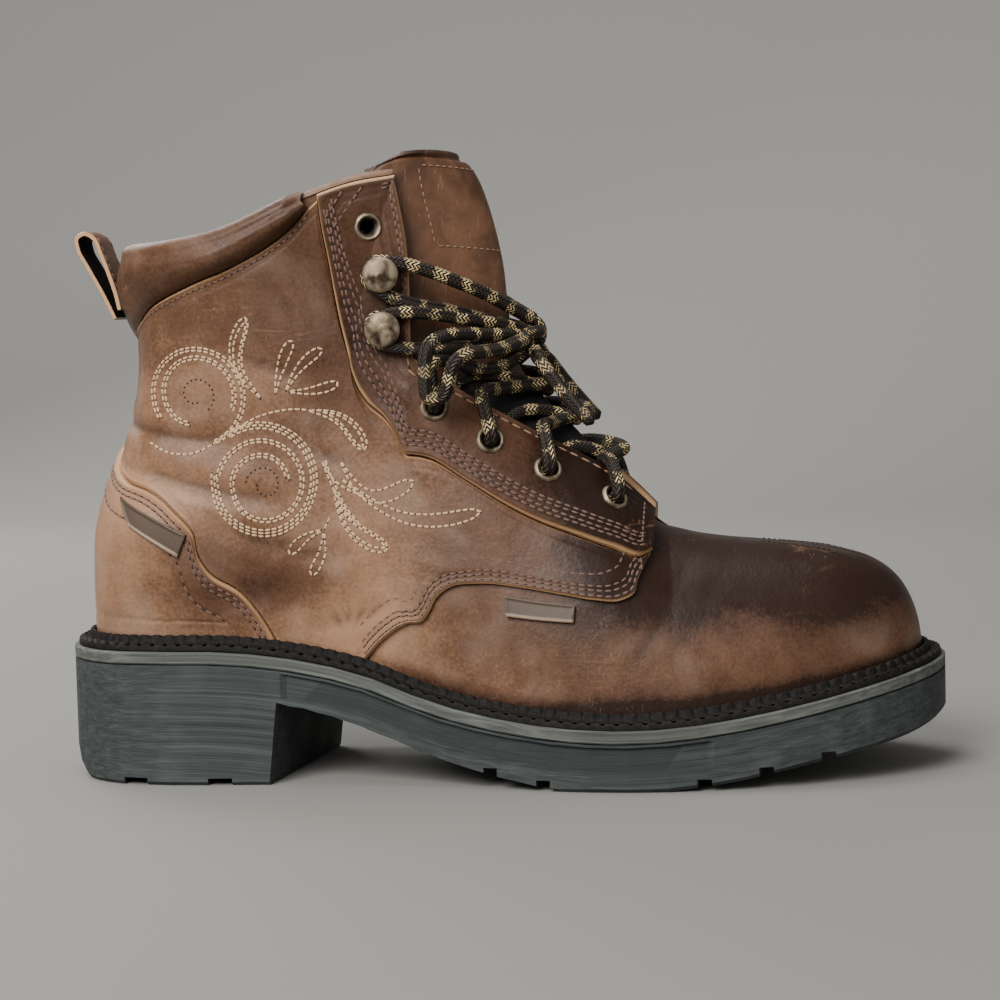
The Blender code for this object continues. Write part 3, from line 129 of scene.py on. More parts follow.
# The upper's columns, from the back seam to the toe. around is the share of the way round
# the sole's edge. along, vamp, shaft and across place the rim; turn is the arc, in degrees,
# that the wall bends through, and square the exponent of that arc. belly and pinch swell the
# low wall and draw in the ankle, as shares of COLLAR_WIDTH. layers is the leather laid on it.
Column = namedtuple(
    "Column", "name around along vamp shaft across turn square belly pinch layers corner"
)
COLUMNS = [
    Column("back", 0.000, 0.088, 1.0, 0.785, 0.00, 28, 2.0, 0.00, 0.145, 1.00, True),
    Column("back_round", 0.075, 0.100, 1.0, 0.793, 0.43, 28, 2.0, 0.01, 0.125, 1.00, False),
    Column("rear_side", 0.140, 0.143, 1.0, 0.798, 0.79, 28, 2.0, 0.04, 0.070, 1.00, False),
    Column("mid_side", 0.205, 0.214, 1.0, 0.832, 0.96, 26, 2.0, 0.05, 0.030, 1.00, False),
    Column("fore_side", 0.260, 0.300, 1.0, 0.926, 0.99, 26, 2.0, 0.04, 0.010, 1.00, False),
    Column("front_side", 0.300, 0.359, 1.0, 0.974, 0.91, 30, 2.0, 0.04, 0.000, 0.86, False),
    Column("collar_front", 0.330, 0.400, 1.0, 0.991, 0.77, 34, 2.0, 0.04, 0.000, 0.56, True),
    Column("facing_high", 0.362, 0.413, 1.0, 0.776, 0.75, 38, 2.0, 0.04, 0.000, 0.56, False),
    Column("notch", 0.400, 0.415, 1.0, 0.490, 0.80, 46, 2.0, 0.03, 0.000, 0.56, True),
    Column("eyelet_row", 0.452, 0.452, 1.0, 0.410, 0.71, 50, 2.0, 0.02, 0.000, 0.36, False),
    Column("facing_mid", 0.525, 0.538, 1.0, 0.267, 0.54, 58, 2.0, 0.01, 0.000, 0.10, False),
    Column("facing_low", 0.600, 0.626, 1.0, 0.130, 0.37, 68, 2.0, 0.00, 0.000, 0.00, False),
    Column("throat_side", 0.640, 0.669, 1.0, 0.020, 0.27, 78, 2.0, 0.00, 0.000, 0.00, True),
    Column("throat", 0.665, 0.690, 0.98, 0.000, 0.00, 90, 2.0, 0.00, 0.000, 0.00, True),
    Column("ridge_back", 0.730, 0.738, 0.940, 0.000, 0.00, 90, 2.1, 0.00, 0.000, 0.00, False),
    Column("ridge_mid", 0.800, 0.800, 0.915, 0.000, 0.00, 90, 2.2, 0.00, 0.000, 0.00, False),
    Column("ridge_fore", 0.860, 0.848, 0.895, 0.000, 0.00, 90, 2.3, 0.00, 0.000, 0.00, False),
    Column("toe_top", 0.920, 0.880, 0.870, 0.000, 0.00, 90, 2.3, 0.00, 0.000, 0.00, False),
    Column("toe_front", 1.000, 0.900, 0.840, 0.000, 0.00, 90, 2.3, 0.00, 0.000, 0.00, True),
]
BELLY_AT, BELLY_REACH = 0.26, 0.26
PINCH_AT, PINCH_REACH = 0.65, 0.42


def hermite(knots, values, at):
    """Smooth curve through values at knots, read off at the given places."""
    knots = np.asarray(knots, float)
    values = np.asarray(values, float)
    if len(knots) == 2:
        slopes = np.full(values.shape, 1.0) * (values[1] - values[0]) / (knots[1] - knots[0])
    else:
        slopes = np.gradient(values, knots, axis=0)
    at = np.asarray(at, float)
    low = np.clip(np.searchsorted(knots, at, side="right") - 1, 0, len(knots) - 2)
    step = knots[low + 1] - knots[low]
    t = (at - knots[low]) / step
    spare = at.shape + (1,) * (values.ndim - 1)
    t, step = t.reshape(spare), step.reshape(spare)
    return (
        (2 * t**3 - 3 * t**2 + 1) * values[low]
        + (t**3 - 2 * t**2 + t) * step * slopes[low]
        + (3 * t**2 - 2 * t**3) * values[low + 1]
        + (t**3 - t**2) * step * slopes[low + 1]
    )


def lengths(points):
    """Distance run along a line of points, from its start."""
    steps = np.linalg.norm(np.diff(points, axis=0), axis=1)
    return np.concatenate([[0.0], np.cumsum(steps)])


def read_off(at, run, values):
    """Columns of values given along a run, read off at other places of it."""
    return np.stack([np.interp(at, run, column) for column in values.T], axis=-1)


def unit(vectors):
    """The same directions at length 1."""
    return vectors / np.linalg.norm(vectors, axis=-1, keepdims=True)


def crosswise(line):
    """Unit directions square to a flat line at each of its points."""
    along = np.gradient(line, axis=0)
    return unit(np.stack([-along[:, 1], along[:, 0]], axis=1))


def read(rows, name):
    """One named column of a table."""
    return np.array([getattr(row, name) for row in rows], float)


def side_points(side):
    """The sole's edge on one side, from the back of the heel to the toe."""
    radius = HEEL_WIDTH / 2
    points = []
    for angle in np.radians([0.0, 30.0, 60.0, 90.0]):
        points.append((radius * (1 - math.cos(angle)), side * radius * math.sin(angle)))
    for row in FOREPART:
        share = row.outer if side == OUTER else row.inner
        points.append((row.along * SOLE_LENGTH, side * share * BALL_WIDTH))
    points.append((SOLE_LENGTH, 0.0))
    return np.array(points)


def side_curve(side, samples=600):
    """Evenly spaced points of one side's edge, with the outward direction at each."""
    points = side_points(side)
    mirror = points * (1, -1)
    padded = np.vstack([mirror[2:0:-1], points, mirror[-2:-4:-1]])
    chord = lengths(padded)
    dense = hermite(chord, padded, np.linspace(chord[2], chord[-3], samples * 4))
    run = lengths(dense)
    curve = read_off(np.linspace(0, run[-1], samples), run, dense)
    outward = side * crosswise(curve)
    outward[0] = (-1, 0)
    outward[-1] = (1, 0)
    return curve, outward


SIDE_CURVES = {side: side_curve(side) for side in SIDES}


def outline(side, around, inset):
    """Points (x, y) of the sole's edge moved inwards, and the outward directions there."""
    curve, outward = SIDE_CURVES[side]
    shares = np.linspace(0, 1, len(curve))
    out = unit(read_off(around, shares, outward))
    return read_off(around, shares, curve) - out * np.asarray(inset, float)[..., None], out


def sole_top(x):
    """Height of the midsole's top above the floor."""
    along = np.clip(np.asarray(x, float) / SOLE_LENGTH, 0, 1)
    heel = hermite(read(SOLE_LINE, "along"), read(SOLE_LINE, "heel"), along)
    toe = hermite(read(SOLE_LINE, "along"), read(SOLE_LINE, "toe"), along)
    return BALL_HEIGHT + heel * (HEEL_HEIGHT - BALL_HEIGHT) + toe * TOE_SPRING


def column_value(name, around):
    """A column of COLUMNS, smooth between corners and free to kink at them."""
    around = np.asarray(around, float)
    knots = read(COLUMNS, "around")
    values = read(COLUMNS, name)
    corners = [i for i, row in enumerate(COLUMNS) if row.corner]
    result = np.zeros(around.shape)
    for first, last in zip(corners, corners[1:]):
        inside = (around >= knots[first]) & (around <= knots[last])
        run = hermite(knots[first : last + 1], values[first : last + 1], around)
        result = np.where(inside, run, result)
    return result


def bump(at, centre, reach):
    """A smooth hump of height 1 that ends at centre plus or minus reach."""
    off = np.clip(np.abs(np.asarray(at, float) - centre) / reach, 0, 1)
    return np.cos(0.5 * math.pi * off) ** 2


def form(side, around, up):
    """Outer face of the upper's wall. up runs from 0 at the welt to 1 at the rim."""
    around, up = np.broadcast_arrays(np.asarray(around, float), np.asarray(up, float))
    knots = read(COLUMNS, "around")
    smooth = {
        name: hermite(knots, read(COLUMNS, name), around)
        for name in ("turn", "square", "belly", "pinch", "layers")
    }
    foot, out = outline(side, around, LEDGE + smooth["layers"] * COUNTER_THICKNESS)
    foot_z = sole_top(foot[..., 0]) + GAP
    rim_x = column_value("along", around) * SOLE_LENGTH
    rim_y = side * column_value("across", around) * COLLAR_WIDTH / 2
    rim_z = column_value("vamp", around) * VAMP_HEIGHT
    rim_z = rim_z + column_value("shaft", around) * SHAFT_RISE

    def arc(angle):
        cosine, sine = np.cos(angle), np.sin(angle)
        power = smooth["square"]
        radius = (np.abs(cosine) ** power + np.abs(sine) ** power) ** (-1 / power)
        return radius * cosine, radius * sine

    end = np.radians(np.minimum(smooth["turn"], 90.0))
    across_now, up_now = arc(end * up)
    across_end, up_end = arc(end)
    inward = 1 - (across_now - across_end) / (1 - across_end)
    upward = up_now / up_end
    swell = smooth["belly"] * bump(up, BELLY_AT, BELLY_REACH)
    swell = (swell - smooth["pinch"] * bump(up, PINCH_AT, PINCH_REACH)) * COLLAR_WIDTH
    return np.stack(
        [
            foot[..., 0] + (rim_x - foot[..., 0]) * inward + out[..., 0] * swell,
            foot[..., 1] + (rim_y - foot[..., 1]) * inward + out[..., 1] * swell,
            foot_z + (rim_z - foot_z) * upward,
        ],
        axis=-1,
    )


def form_at(side, shares):
    """The form for an array whose last axis holds (around, up)."""
    return form(side, shares[..., 0], shares[..., 1])


def form_normal(side, around, up, step=2e-3):
    """Outward direction of the upper's wall."""
    around, up = np.broadcast_arrays(np.asarray(around, float), np.asarray(up, float))
    tip = (around > 1 - step) & (up > 0.96)
    on_ridge = (up >= 1) & (around >= throat_around()) & ~tip
    up = np.where(tip, 0.96, up)
    low_a = np.where(on_ridge, around, np.clip(around - step, 0, 1))
    high_a = np.clip(around + step, 0, 1)
    low_u, high_u = np.clip(up - step, 0, 1), np.clip(up + step, 0, 1)
    forward = form(side, high_a, up) - form(side, low_a, up)
    upward = form(side, around, high_u) - form(side, around, low_u)
    normal = np.cross(forward, upward) * -side
    along_ridge = np.stack([-forward[..., 2], 0 * around, forward[..., 0]], axis=-1)
    normal = np.where(on_ridge[..., None], along_ridge, normal)
    on_seam = (around <= 0) | (around >= 1) | on_ridge | tip
    normal[..., 1] = np.where(on_seam, 0.0, normal[..., 1])
    return unit(normal)


def station(name):
    """The share round the sole of a named column."""
    return next(row.around for row in COLUMNS if row.name == name)


def throat_around():
    return station("throat")


def on_form(side, around, up, lift):
    """A point held a set distance outside the upper's wall."""
    lift = np.asarray(lift, float)[..., None]
    return form(side, around, up) + form_normal(side, around, up) * lift


# Seams seen from the side. along is a share of SOLE_LENGTH. rise is 0 at the welt, 1 at the
# throat's height and 2 at the collar's front corner; along 0 means the back seam.
SeamRow = namedtuple("SeamRow", "along rise")
COUNTER_EDGE = [
    SeamRow(0.000, 1.245),
    SeamRow(0.084, 1.160),
    SeamRow(0.117, 1.124),
    SeamRow(0.148, 1.064),
    SeamRow(0.165, 1.017),
    SeamRow(0.172, 0.918),
    SeamRow(0.182, 0.860),
    SeamRow(0.215, 0.778),
    SeamRow(0.235, 0.690),
    SeamRow(0.262, 0.000),
]
VAMP_EDGE = [
    SeamRow(0.348, 0.000),
    SeamRow(0.384, 0.596),
    SeamRow(0.404, 0.640),
    SeamRow(0.422, 0.650),
    SeamRow(0.431, 0.692),
    SeamRow(0.439, 0.744),
    SeamRow(0.453, 0.783),
    SeamRow(0.486, 0.799),
    SeamRow(0.535, 0.781),
    SeamRow(0.580, 0.752),
    SeamRow(0.612, 0.730),
    SeamRow(0.641, 0.724),
    SeamRow(0.655, 0.748),
    SeamRow(0.659, 0.796),
    SeamRow(0.665, 0.855),
]
COLLAR_SEAM = [
    SeamRow(0.000, 1.540),
    SeamRow(0.106, 1.607),
    SeamRow(0.138, 1.665),
    SeamRow(0.180, 1.710),
    SeamRow(0.226, 1.755),
    SeamRow(0.262, 1.802),
    SeamRow(0.291, 1.855),
    SeamRow(0.309, 1.905),
]
EYESTAY_EDGE = [
    SeamRow(0.318, 1.925),
    SeamRow(0.320, 1.860),
    SeamRow(0.326, 1.757),
    SeamRow(0.332, 1.642),
    SeamRow(0.339, 1.544),
    SeamRow(0.348, 1.447),
    SeamRow(0.364, 1.364),
    SeamRow(0.393, 1.291),
    SeamRow(0.436, 1.202),
    SeamRow(0.475, 1.138),
    SeamRow(0.515, 1.072),
    SeamRow(0.581, 0.992),
    SeamRow(0.630, 0.919),
    SeamRow(0.657, 0.879),
    SeamRow(0.671, 0.895),
]
# The eyestay's front edge follows the rim through these shares round the sole
RIM_FRONT = [
    0.272, 0.300, 0.330, 0.346, 0.362, 0.381, 0.400, 0.417, 0.434,
    0.452, 0.476, 0.500, 0.525, 0.555, 0.585, 0.615, 0.640,
]
SEAM_POINTS = 14
STAY_POINTS = len(RIM_FRONT)

EYELET_PLACES = [
    SeamRow(0.627, 1.065),
    SeamRow(0.558, 1.153),
    SeamRow(0.496, 1.243),
    SeamRow(0.437, 1.345),
    SeamRow(0.368, 1.850),
]
HOOK_PLACES = [
    SeamRow(0.386, 1.563),
    SeamRow(0.384, 1.714),
]

# The tongue's rows from under the vamp to its top. along and rise place its middle line;
# puff is its thickness there as a share of TONGUE_THICKNESS
TongueRow = namedtuple("TongueRow", "around along rise puff")
TONGUE_ROWS = [
    TongueRow(0.290, 0.458, 2.065, 0.90),
    TongueRow(0.330, 0.486, 1.960, 1.25),
    TongueRow(0.362, 0.508, 1.750, 1.30),
    TongueRow(0.400, 0.520, 1.500, 1.10),
    TongueRow(0.452, 0.546, 1.385, 0.70),
    TongueRow(0.525, 0.590, 1.265, 0.50),
    TongueRow(0.600, 0.645, 1.105, 0.50),
    TongueRow(0.640, 0.668, 1.005, 0.50),
    TongueRow(0.665, 0.000, 0.000, 0.50),
    TongueRow(0.700, 0.000, 0.000, 0.50),
    TongueRow(0.740, 0.000, 0.000, 0.50),
]
TONGUE_CLEARANCE = 0.0013
TONGUE_ACROSS = [-1.0, -0.62, 0.0, 0.62, 1.0]

# Routes of the free lace: the surface it lies along, shares on it, and lace widths above it
RouteRow = namedtuple("RouteRow", "where around up lift")


def height(rise):
    """Height above the floor of a share that is 1 at the throat and 2 at the collar's front."""
    rise = np.asarray(rise, float)
    return np.minimum(rise, 1.0) * VAMP_HEIGHT + np.maximum(rise - 1.0, 0.0) * SHAFT_RISE


def locate_many(side, x, z):
    """Shares (around, up) of the wall's points seen from the side at x and z."""
    x, z = np.atleast_1d(x).astype(float), np.atleast_1d(z).astype(float)
    around, up = np.meshgrid(np.linspace(0, 0.8, 81), np.linspace(0, 1, 41), indexing="ij")
    seen = form(side, around, up)[..., [0, 2]].reshape(-1, 2)
    target = np.stack([x, z], axis=1)
    nearest = np.argmin(((seen[None] - target[:, None]) ** 2).sum(-1), axis=1)
    a, u = around.ravel()[nearest], up.ravel()[nearest]
    step = 1e-4
    for _ in range(12):
        off = target - form(side, a, u)[:, [0, 2]]
        high, low = np.minimum(u + step, 1.0), np.maximum(u - step, 0.0)
        da = (form(side, a + step, u) - form(side, a - step, u))[:, [0, 2]] / (2 * step)
        du = (form(side, a, high) - form(side, a, low))[:, [0, 2]] / (high - low)[:, None]
        for i in range(len(a)):
            pair = np.stack([da[i], du[i]], axis=1)
            move = np.linalg.lstsq(pair, off[i], rcond=1e-3)[0]
            a[i] = np.clip(a[i] + 0.8 * np.clip(move[0], -0.03, 0.03), step, 1.0 - step)
            u[i] = np.clip(u[i] + 0.8 * np.clip(move[1], -0.1, 0.1), 0.0, 1.0)
    return np.stack([a, u], axis=1)


def locate_point(side, x, z):
    """The same for one point, as two numbers."""
    found = locate_many(side, x, z)[0]
    return float(found[0]), float(found[1])


@lru_cache(maxsize=None)
def locate(side, along, rise):
    """Shares (around, up) of the wall's point at shares of the sole's length and height."""
    x, z = along * SOLE_LENGTH, float(height(rise))
    fine = np.linspace(0, 1, 401)
    if along == 0:
        return 0.0, float(np.interp(z, form(side, 0.0, fine)[:, 2], fine))
    if rise == 0:
        return float(np.interp(x, form(side, fine, 0.0)[:, 0], fine)), 0.0
    return locate_point(side, x, z)


def spread(side, shares, count):
    """Shares spaced evenly along a smooth line through the given ones."""
    shares = np.asarray(shares, float)
    chord = lengths(form_at(side, shares))
    return np.clip(hermite(chord, shares, np.linspace(0, chord[-1], count)), 0.0, 1.0)


def seam(side, rows, count):
    """A seam's line on the wall, as shares (around, up)."""
    return spread(side, [locate(side, row.along, row.rise) for row in rows], count)


def span_length(side, low, high):
    """Straight distances on the wall between the matched points of two lines."""
    return np.linalg.norm(form_at(side, high) - form_at(side, low), axis=1)


def between(low, high, share):
    """Rows of shares that lie part of the way from each point of low to its match in high."""
    return low[:, None, :] + (high - low)[:, None, :] * share[..., None]


def ruled(side, low, high, divisions, trim_low, trim_high):
    """Shares on straight lines from low to high, drawn in from each by a set length."""
    length = span_length(side, low, high)
    start = (trim_low / length)[:, None]
    end = 1 - (trim_high / length)[:, None]
    return between(low, high, start + (end - start) * np.linspace(0, 1, divisions + 1))


SEAM_TRIM = 0.0004  # a laid piece ends this far short of its seam


@lru_cache(maxsize=None)
def tongue_controls():
    """Five points across each row of the tongue, from its outer edge to its inner edge."""
    under = -(WALL + TONGUE_CLEARANCE)
    collar_front = station("collar_front")
    rows = []
    for row in TONGUE_ROWS:
        around = max(row.around, collar_front)
        edge = {}
        for side in SIDES:
            rim = on_form(side, around, 0.985 if row.along else 0.90, under)
            if around <= station("notch"):
                back = locate_point(side, rim[0] - TONGUE_FLAP, rim[2] - 0.5 * TONGUE_FLAP)
                back = on_form(side, *back, under)
                edge[side] = [back - (0, side * WALL, 0), rim - (0, side * 0.5 * WALL, 0)]
            else:
                edge[side] = [on_form(side, around, 0.80 if row.along else 0.75, under), rim]
        if row.along == 0:
            middle = on_form(OUTER, around, 1.0, under)
        else:
            middle = np.array([row.along * SOLE_LENGTH, 0.0, float(height(row.rise))])
        low, high = edge[OUTER], edge[INNER]
        points = np.array([low[0], low[1], middle, high[1], high[0]])
        if row.around < collar_front:
            points[[0, 1, 3, 4]] += (0.004, 0.0, TONGUE_RISE)
            points[[0, 1, 3, 4], 1] *= 0.9
        rows.append(points)
    return np.array(rows)


def tongue_point(around, across):
    """Outer face of the tongue. across runs from -1 at its outer edge to 1 at its inner."""
    around, across = np.broadcast_arrays(np.asarray(around, float), np.asarray(across, float))
    shape = around.shape
    rows = hermite(read(TONGUE_ROWS, "around"), tongue_controls(), around.ravel())
    points = [hermite(TONGUE_ACROSS, row, np.array([w]))[0] for row, w in zip(rows, across.ravel())]
    return np.array(points).reshape(shape + (3,))


def tongue_normal(around, across, step=4e-3):
    first, last = TONGUE_ROWS[0].around, TONGUE_ROWS[-1].around
    ahead = tongue_point(np.minimum(around + step, last), across)
    behind = tongue_point(np.maximum(around - step, first), across)
    right = tongue_point(around, np.minimum(across + step, 1.0))
    left = tongue_point(around, np.maximum(across - step, -1.0))
    return unit(np.cross(ahead - behind, right - left))


def on_tongue(around, across, lift):
    around, across = np.broadcast_arrays(np.asarray(around, float), np.asarray(across, float))
    lift = np.asarray(lift, float)[..., None]
    return tongue_point(around, across) + tongue_normal(around, across) * lift


def around_list(*spans):
    """Shares round the sole, from (start, end, steps) spans that share their ends."""
    shares = [spans[0][0]]
    for start, end, steps in spans:
        shares.extend(np.linspace(start, end, steps + 1)[1:])
    return np.array(shares)


def edge_ring(shares, inset, level):
    """The sole's edge drawn in by inset, at the height that level gives for x.

    It is a closed ring: the outer side from heel to toe and the inner side back.
    """
    rings = []
    for side in SIDES:
        flat, _ = outline(side, shares, inset)
        rings.append(np.column_stack([flat, level(flat[:, 0])]))
    outer, inner = rings
    return np.concatenate([outer, inner[1:-1][::-1]])


# The loop's middle line seen from the side: along and rise as in the seams
LOOP_PATH = [
    SeamRow(0.0700, 1.615),
    SeamRow(0.0560, 1.690),
    SeamRow(0.0400, 1.765),
    SeamRow(0.0300, 1.815),
    SeamRow(0.0290, 1.845),
    SeamRow(0.0380, 1.858),
    SeamRow(0.0480, 1.845),
    SeamRow(0.0560, 1.800),
    SeamRow(0.0640, 1.745),
    SeamRow(0.0715, 1.685),
    SeamRow(0.0755, 1.640),
]
LOOP_WIDTH = 0.018
LOOP_THICKNESS = 0.0018
LOOP_GAP = 0.0012  # how far the loop stands off the boot's back


TagRow = namedtuple("TagRow", "name low_from low_to high_from high_to lift")
TAGS = [
    TagRow(
        "tag_heel",
        SeamRow(0.098, 1.030),
        SeamRow(0.150, 0.930),
        SeamRow(0.090, 1.105),
        SeamRow(0.160, 1.010),
        COUNTER_THICKNESS + BEND_GAP + GAP,
    ),
    TagRow(
        "tag_vamp",
        SeamRow(0.516, 0.675),
        SeamRow(0.590, 0.648),
        SeamRow(0.514, 0.755),
        SeamRow(0.592, 0.715),
        BEND_GAP,
    ),
]
TAG_THICKNESS = 0.0011


STAY_FACE = STAY_GAP + EYESTAY_THICKNESS
SEAT_GAP = 0.0008  # flat fittings stand this far off the curved eyestay


def fitting_frame(side, place_row, lift):
    """A matrix whose Z axis stands on the wall at that place."""
    around, up = locate(side, place_row.along, place_row.rise)
    point = Vector(on_form(side, around, up, lift))
    normal = Vector(form_normal(side, around, up))
    turn = normal.to_track_quat("Z", "Y").to_matrix().to_4x4()
    turn.translation = point
    return turn


def tongue_share(start, end):
    """The share along the tongue midway between two places on the sides."""
    return 0.5 * (locate(OUTER, *start)[0] + locate(OUTER, *end)[0])


# Free lace. where is the tongue or a side; on the tongue up runs across it
KNOT = [
    RouteRow("tongue", 0.394, -0.13, 2.13),
    RouteRow("tongue", 0.393, -0.05, 2.16),
    RouteRow("tongue", 0.393, 0.05, 2.16),
    RouteRow("tongue", 0.394, 0.13, 2.13),
]
LOOP = [
    RouteRow("tongue", 0.3940, 0.137, 2.13),
    RouteRow("tongue", 0.3930, 0.260, 2.60),
    RouteRow("side", 0.403, 1.00, 4.00),
    RouteRow("side", 0.411, 0.93, 3.80),
    RouteRow("side", 0.422, 0.87, 3.60),
    RouteRow("side", 0.433, 0.88, 3.70),
    RouteRow("side", 0.434, 1.00, 4.90),
    RouteRow("tongue", 0.402, 0.30, 4.20),
    RouteRow("tongue", 0.396, 0.15, 3.25),
]
END = [
    RouteRow("tongue", 0.4022, 0.07, 2.13),
    RouteRow("tongue", 0.420, 0.11, 2.60),
    RouteRow("tongue", 0.445, 0.16, 3.00),
    RouteRow("tongue", 0.480, 0.20, 3.20),
    RouteRow("tongue", 0.520, 0.26, 3.30),
    RouteRow("tongue", 0.550, 0.32, 3.30),
]


SHIFT = np.array([-0.5 * HEEL_LENGTH, 0.0, 0.0])


def seat(points):
    """Points of the boot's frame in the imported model's frame."""
    return np.asarray(points, float) + SHIFT


# Camera

CAMERA_DISTANCE = 0.80
CAMERA_AZIMUTH = 5.5  # turned towards the toe, in degrees
CAMERA_HEIGHT = 0.149
CAMERA_LENS = 87.0
CAMERA_ROLL = -1.5
AIM = (0.1075, 0.0, 0.088)


def make_camera():
    """The camera where the photograph has it, aimed at the middle of the one boot."""
    data = bpy.data.cameras.new("camera")
    data.sensor_width = 36.0
    data.lens = CAMERA_LENS
    camera = bpy.data.objects.new("camera", data)
    bpy.context.scene.collection.objects.link(camera)
    turn = math.radians(CAMERA_AZIMUTH)
    aim = Vector(AIM)
    place = Vector((aim.x, aim.y, 0.0))
    place += CAMERA_DISTANCE * Vector((math.sin(turn), -math.cos(turn), 0.0))
    place.z = CAMERA_HEIGHT
    look = (aim - place).to_track_quat("-Z", "Y").to_matrix()
    roll = Matrix.Rotation(math.radians(CAMERA_ROLL), 3, "Z")
    camera.matrix_world = Matrix.Translation(place) @ (look @ roll).to_4x4()
    bpy.context.scene.camera = camera


make_camera()


# Materials


class Shade:
    """Short hand for the nodes of one Principled material."""

    def __init__(self, name, roughness, metallic=0.0, coat=0.0, sheen=0.0, specular=0.5):
        self.material = bpy.data.materials.new(name)
        self.material.use_nodes = True
        self.tree = self.material.node_tree
        self.shader = self.tree.nodes["Principled BSDF"]
        settings = {"Roughness": roughness, "Metallic": metallic, "Coat Weight": coat,
                    "Coat Roughness": 0.35, "Sheen Weight": sheen, "Specular IOR Level": specular}
        for key, value in settings.items():
            self.shader.inputs[key].default_value = value
        self.place = self.node("TexCoord", "Object")

    def feed(self, socket, value):
        """Wire an output to a socket, or set the socket's own number or colour."""
        if isinstance(value, bpy.types.NodeSocket):
            self.tree.links.new(value, socket)
        elif isinstance(value, tuple) and len(value) == 3 and socket.type == "RGBA":
            socket.default_value = (*value, 1.0)
        else:
            socket.default_value = value

    def add(self, kind, inputs=None, **settings):
        """A new node with its settings made and its inputs fed."""
        made = self.tree.nodes.new("ShaderNode" + kind)
        for key, value in settings.items():
            setattr(made, key, value)
        for key, value in (inputs or {}).items():
            self.feed(made.inputs[key], value)
        return made

    def node(self, kind, output, inputs=None, **settings):
        """One output of a new node."""
        return self.add(kind, inputs, **settings).outputs[output]

    def scaled(self, vector, scale):
        return self.node("Mapping", "Vector", {"Vector": vector, "Scale": scale})

    def noise(self, vector, scale, detail=3.0, distortion=0.0):
        inputs = {"Vector": vector, "Scale": scale, "Detail": detail, "Distortion": distortion}
        return self.node("TexNoise", "Fac", inputs)

    def cells(self, vector, scale):
        inputs = {"Vector": vector, "Scale": scale}
        return self.node("TexVoronoi", "Distance", inputs, feature="DISTANCE_TO_EDGE")

    def math(self, operation, first, second=0.0):
        return self.node("Math", 0, {0: first, 1: second}, operation=operation)

    def plus(self, first, second):
        return self.math("ADD", first, second)

    def times(self, first, second):
        return self.math("MULTIPLY", first, second)

    def span(self, value, low, high, to_low=0.0, to_high=1.0):
        """value carried from one range to another and held inside it."""
        inputs = {"Value": value, "From Min": low, "From Max": high, "To Min": to_low, "To Max": to_high}
        return self.node("MapRange", "Result", inputs)

    def ramp(self, value, *stops):
        made = self.add("ValToRGB", {"Fac": value})
        bar = made.color_ramp.elements
        while len(bar) < len(stops):
            bar.new(0.5)
        for element, (at, colour) in zip(bar, stops):
            element.position = at
            element.color = (*colour, 1.0)
        return made.outputs["Color"]

    def mix(self, share, first, second):
        return self.node("MixRGB", "Color", {"Fac": share, "Color1": first, "Color2": second})

    def parts(self, vector):
        """The three numbers of a vector."""
        return tuple(self.add("SeparateXYZ", {0: vector}).outputs)

    def attribute(self, name, output):
        return self.node("Attribute", output, attribute_name=name)

    def marks(self):
        """The three marks stored on a mesh: tone, which holds painted sheen and painted shade in places; raw
        edge; and painted shade in the troughs of the creases, which on the tongue marks its cloth instead.
        """
        return tuple(self.add("SeparateColor", {"Color": self.attribute("marks", "Color")}).outputs)

    def along(self):
        """The two coordinates of a strand: turns round it, and its length in widths."""
        return self.parts(self.node("UVMap", "UV", uv_map="along"))[:2]

    def relief(self, *layers):
        """Bumps laid on each other, each given as (height, strength, distance)."""
        below = {}
        for level, strength, distance in layers:
            inputs = {"Height": level, "Strength": strength, "Distance": distance}
            below = {"Normal": self.node("Bump", "Normal", inputs | below)}
        self.feed(self.shader.inputs["Normal"], below["Normal"])

    def colour(self, value):
        self.feed(self.shader.inputs["Base Color"], value)

    def roughness(self, value):
        self.feed(self.shader.inputs["Roughness"], value)


DARK = (0.0165, 0.0060, 0.0026)
MID = (0.106, 0.0500, 0.0260)
LIGHT = (0.310, 0.170, 0.096)
GREY = (0.270, 0.190, 0.145)
RAW = (0.520, 0.300, 0.150)
SCUFF = (0.330, 0.190, 0.110)


def toned(colour, factor):
    """A paler or darker form of a colour."""
    return tuple(min(1.0, factor * c) for c in colour)


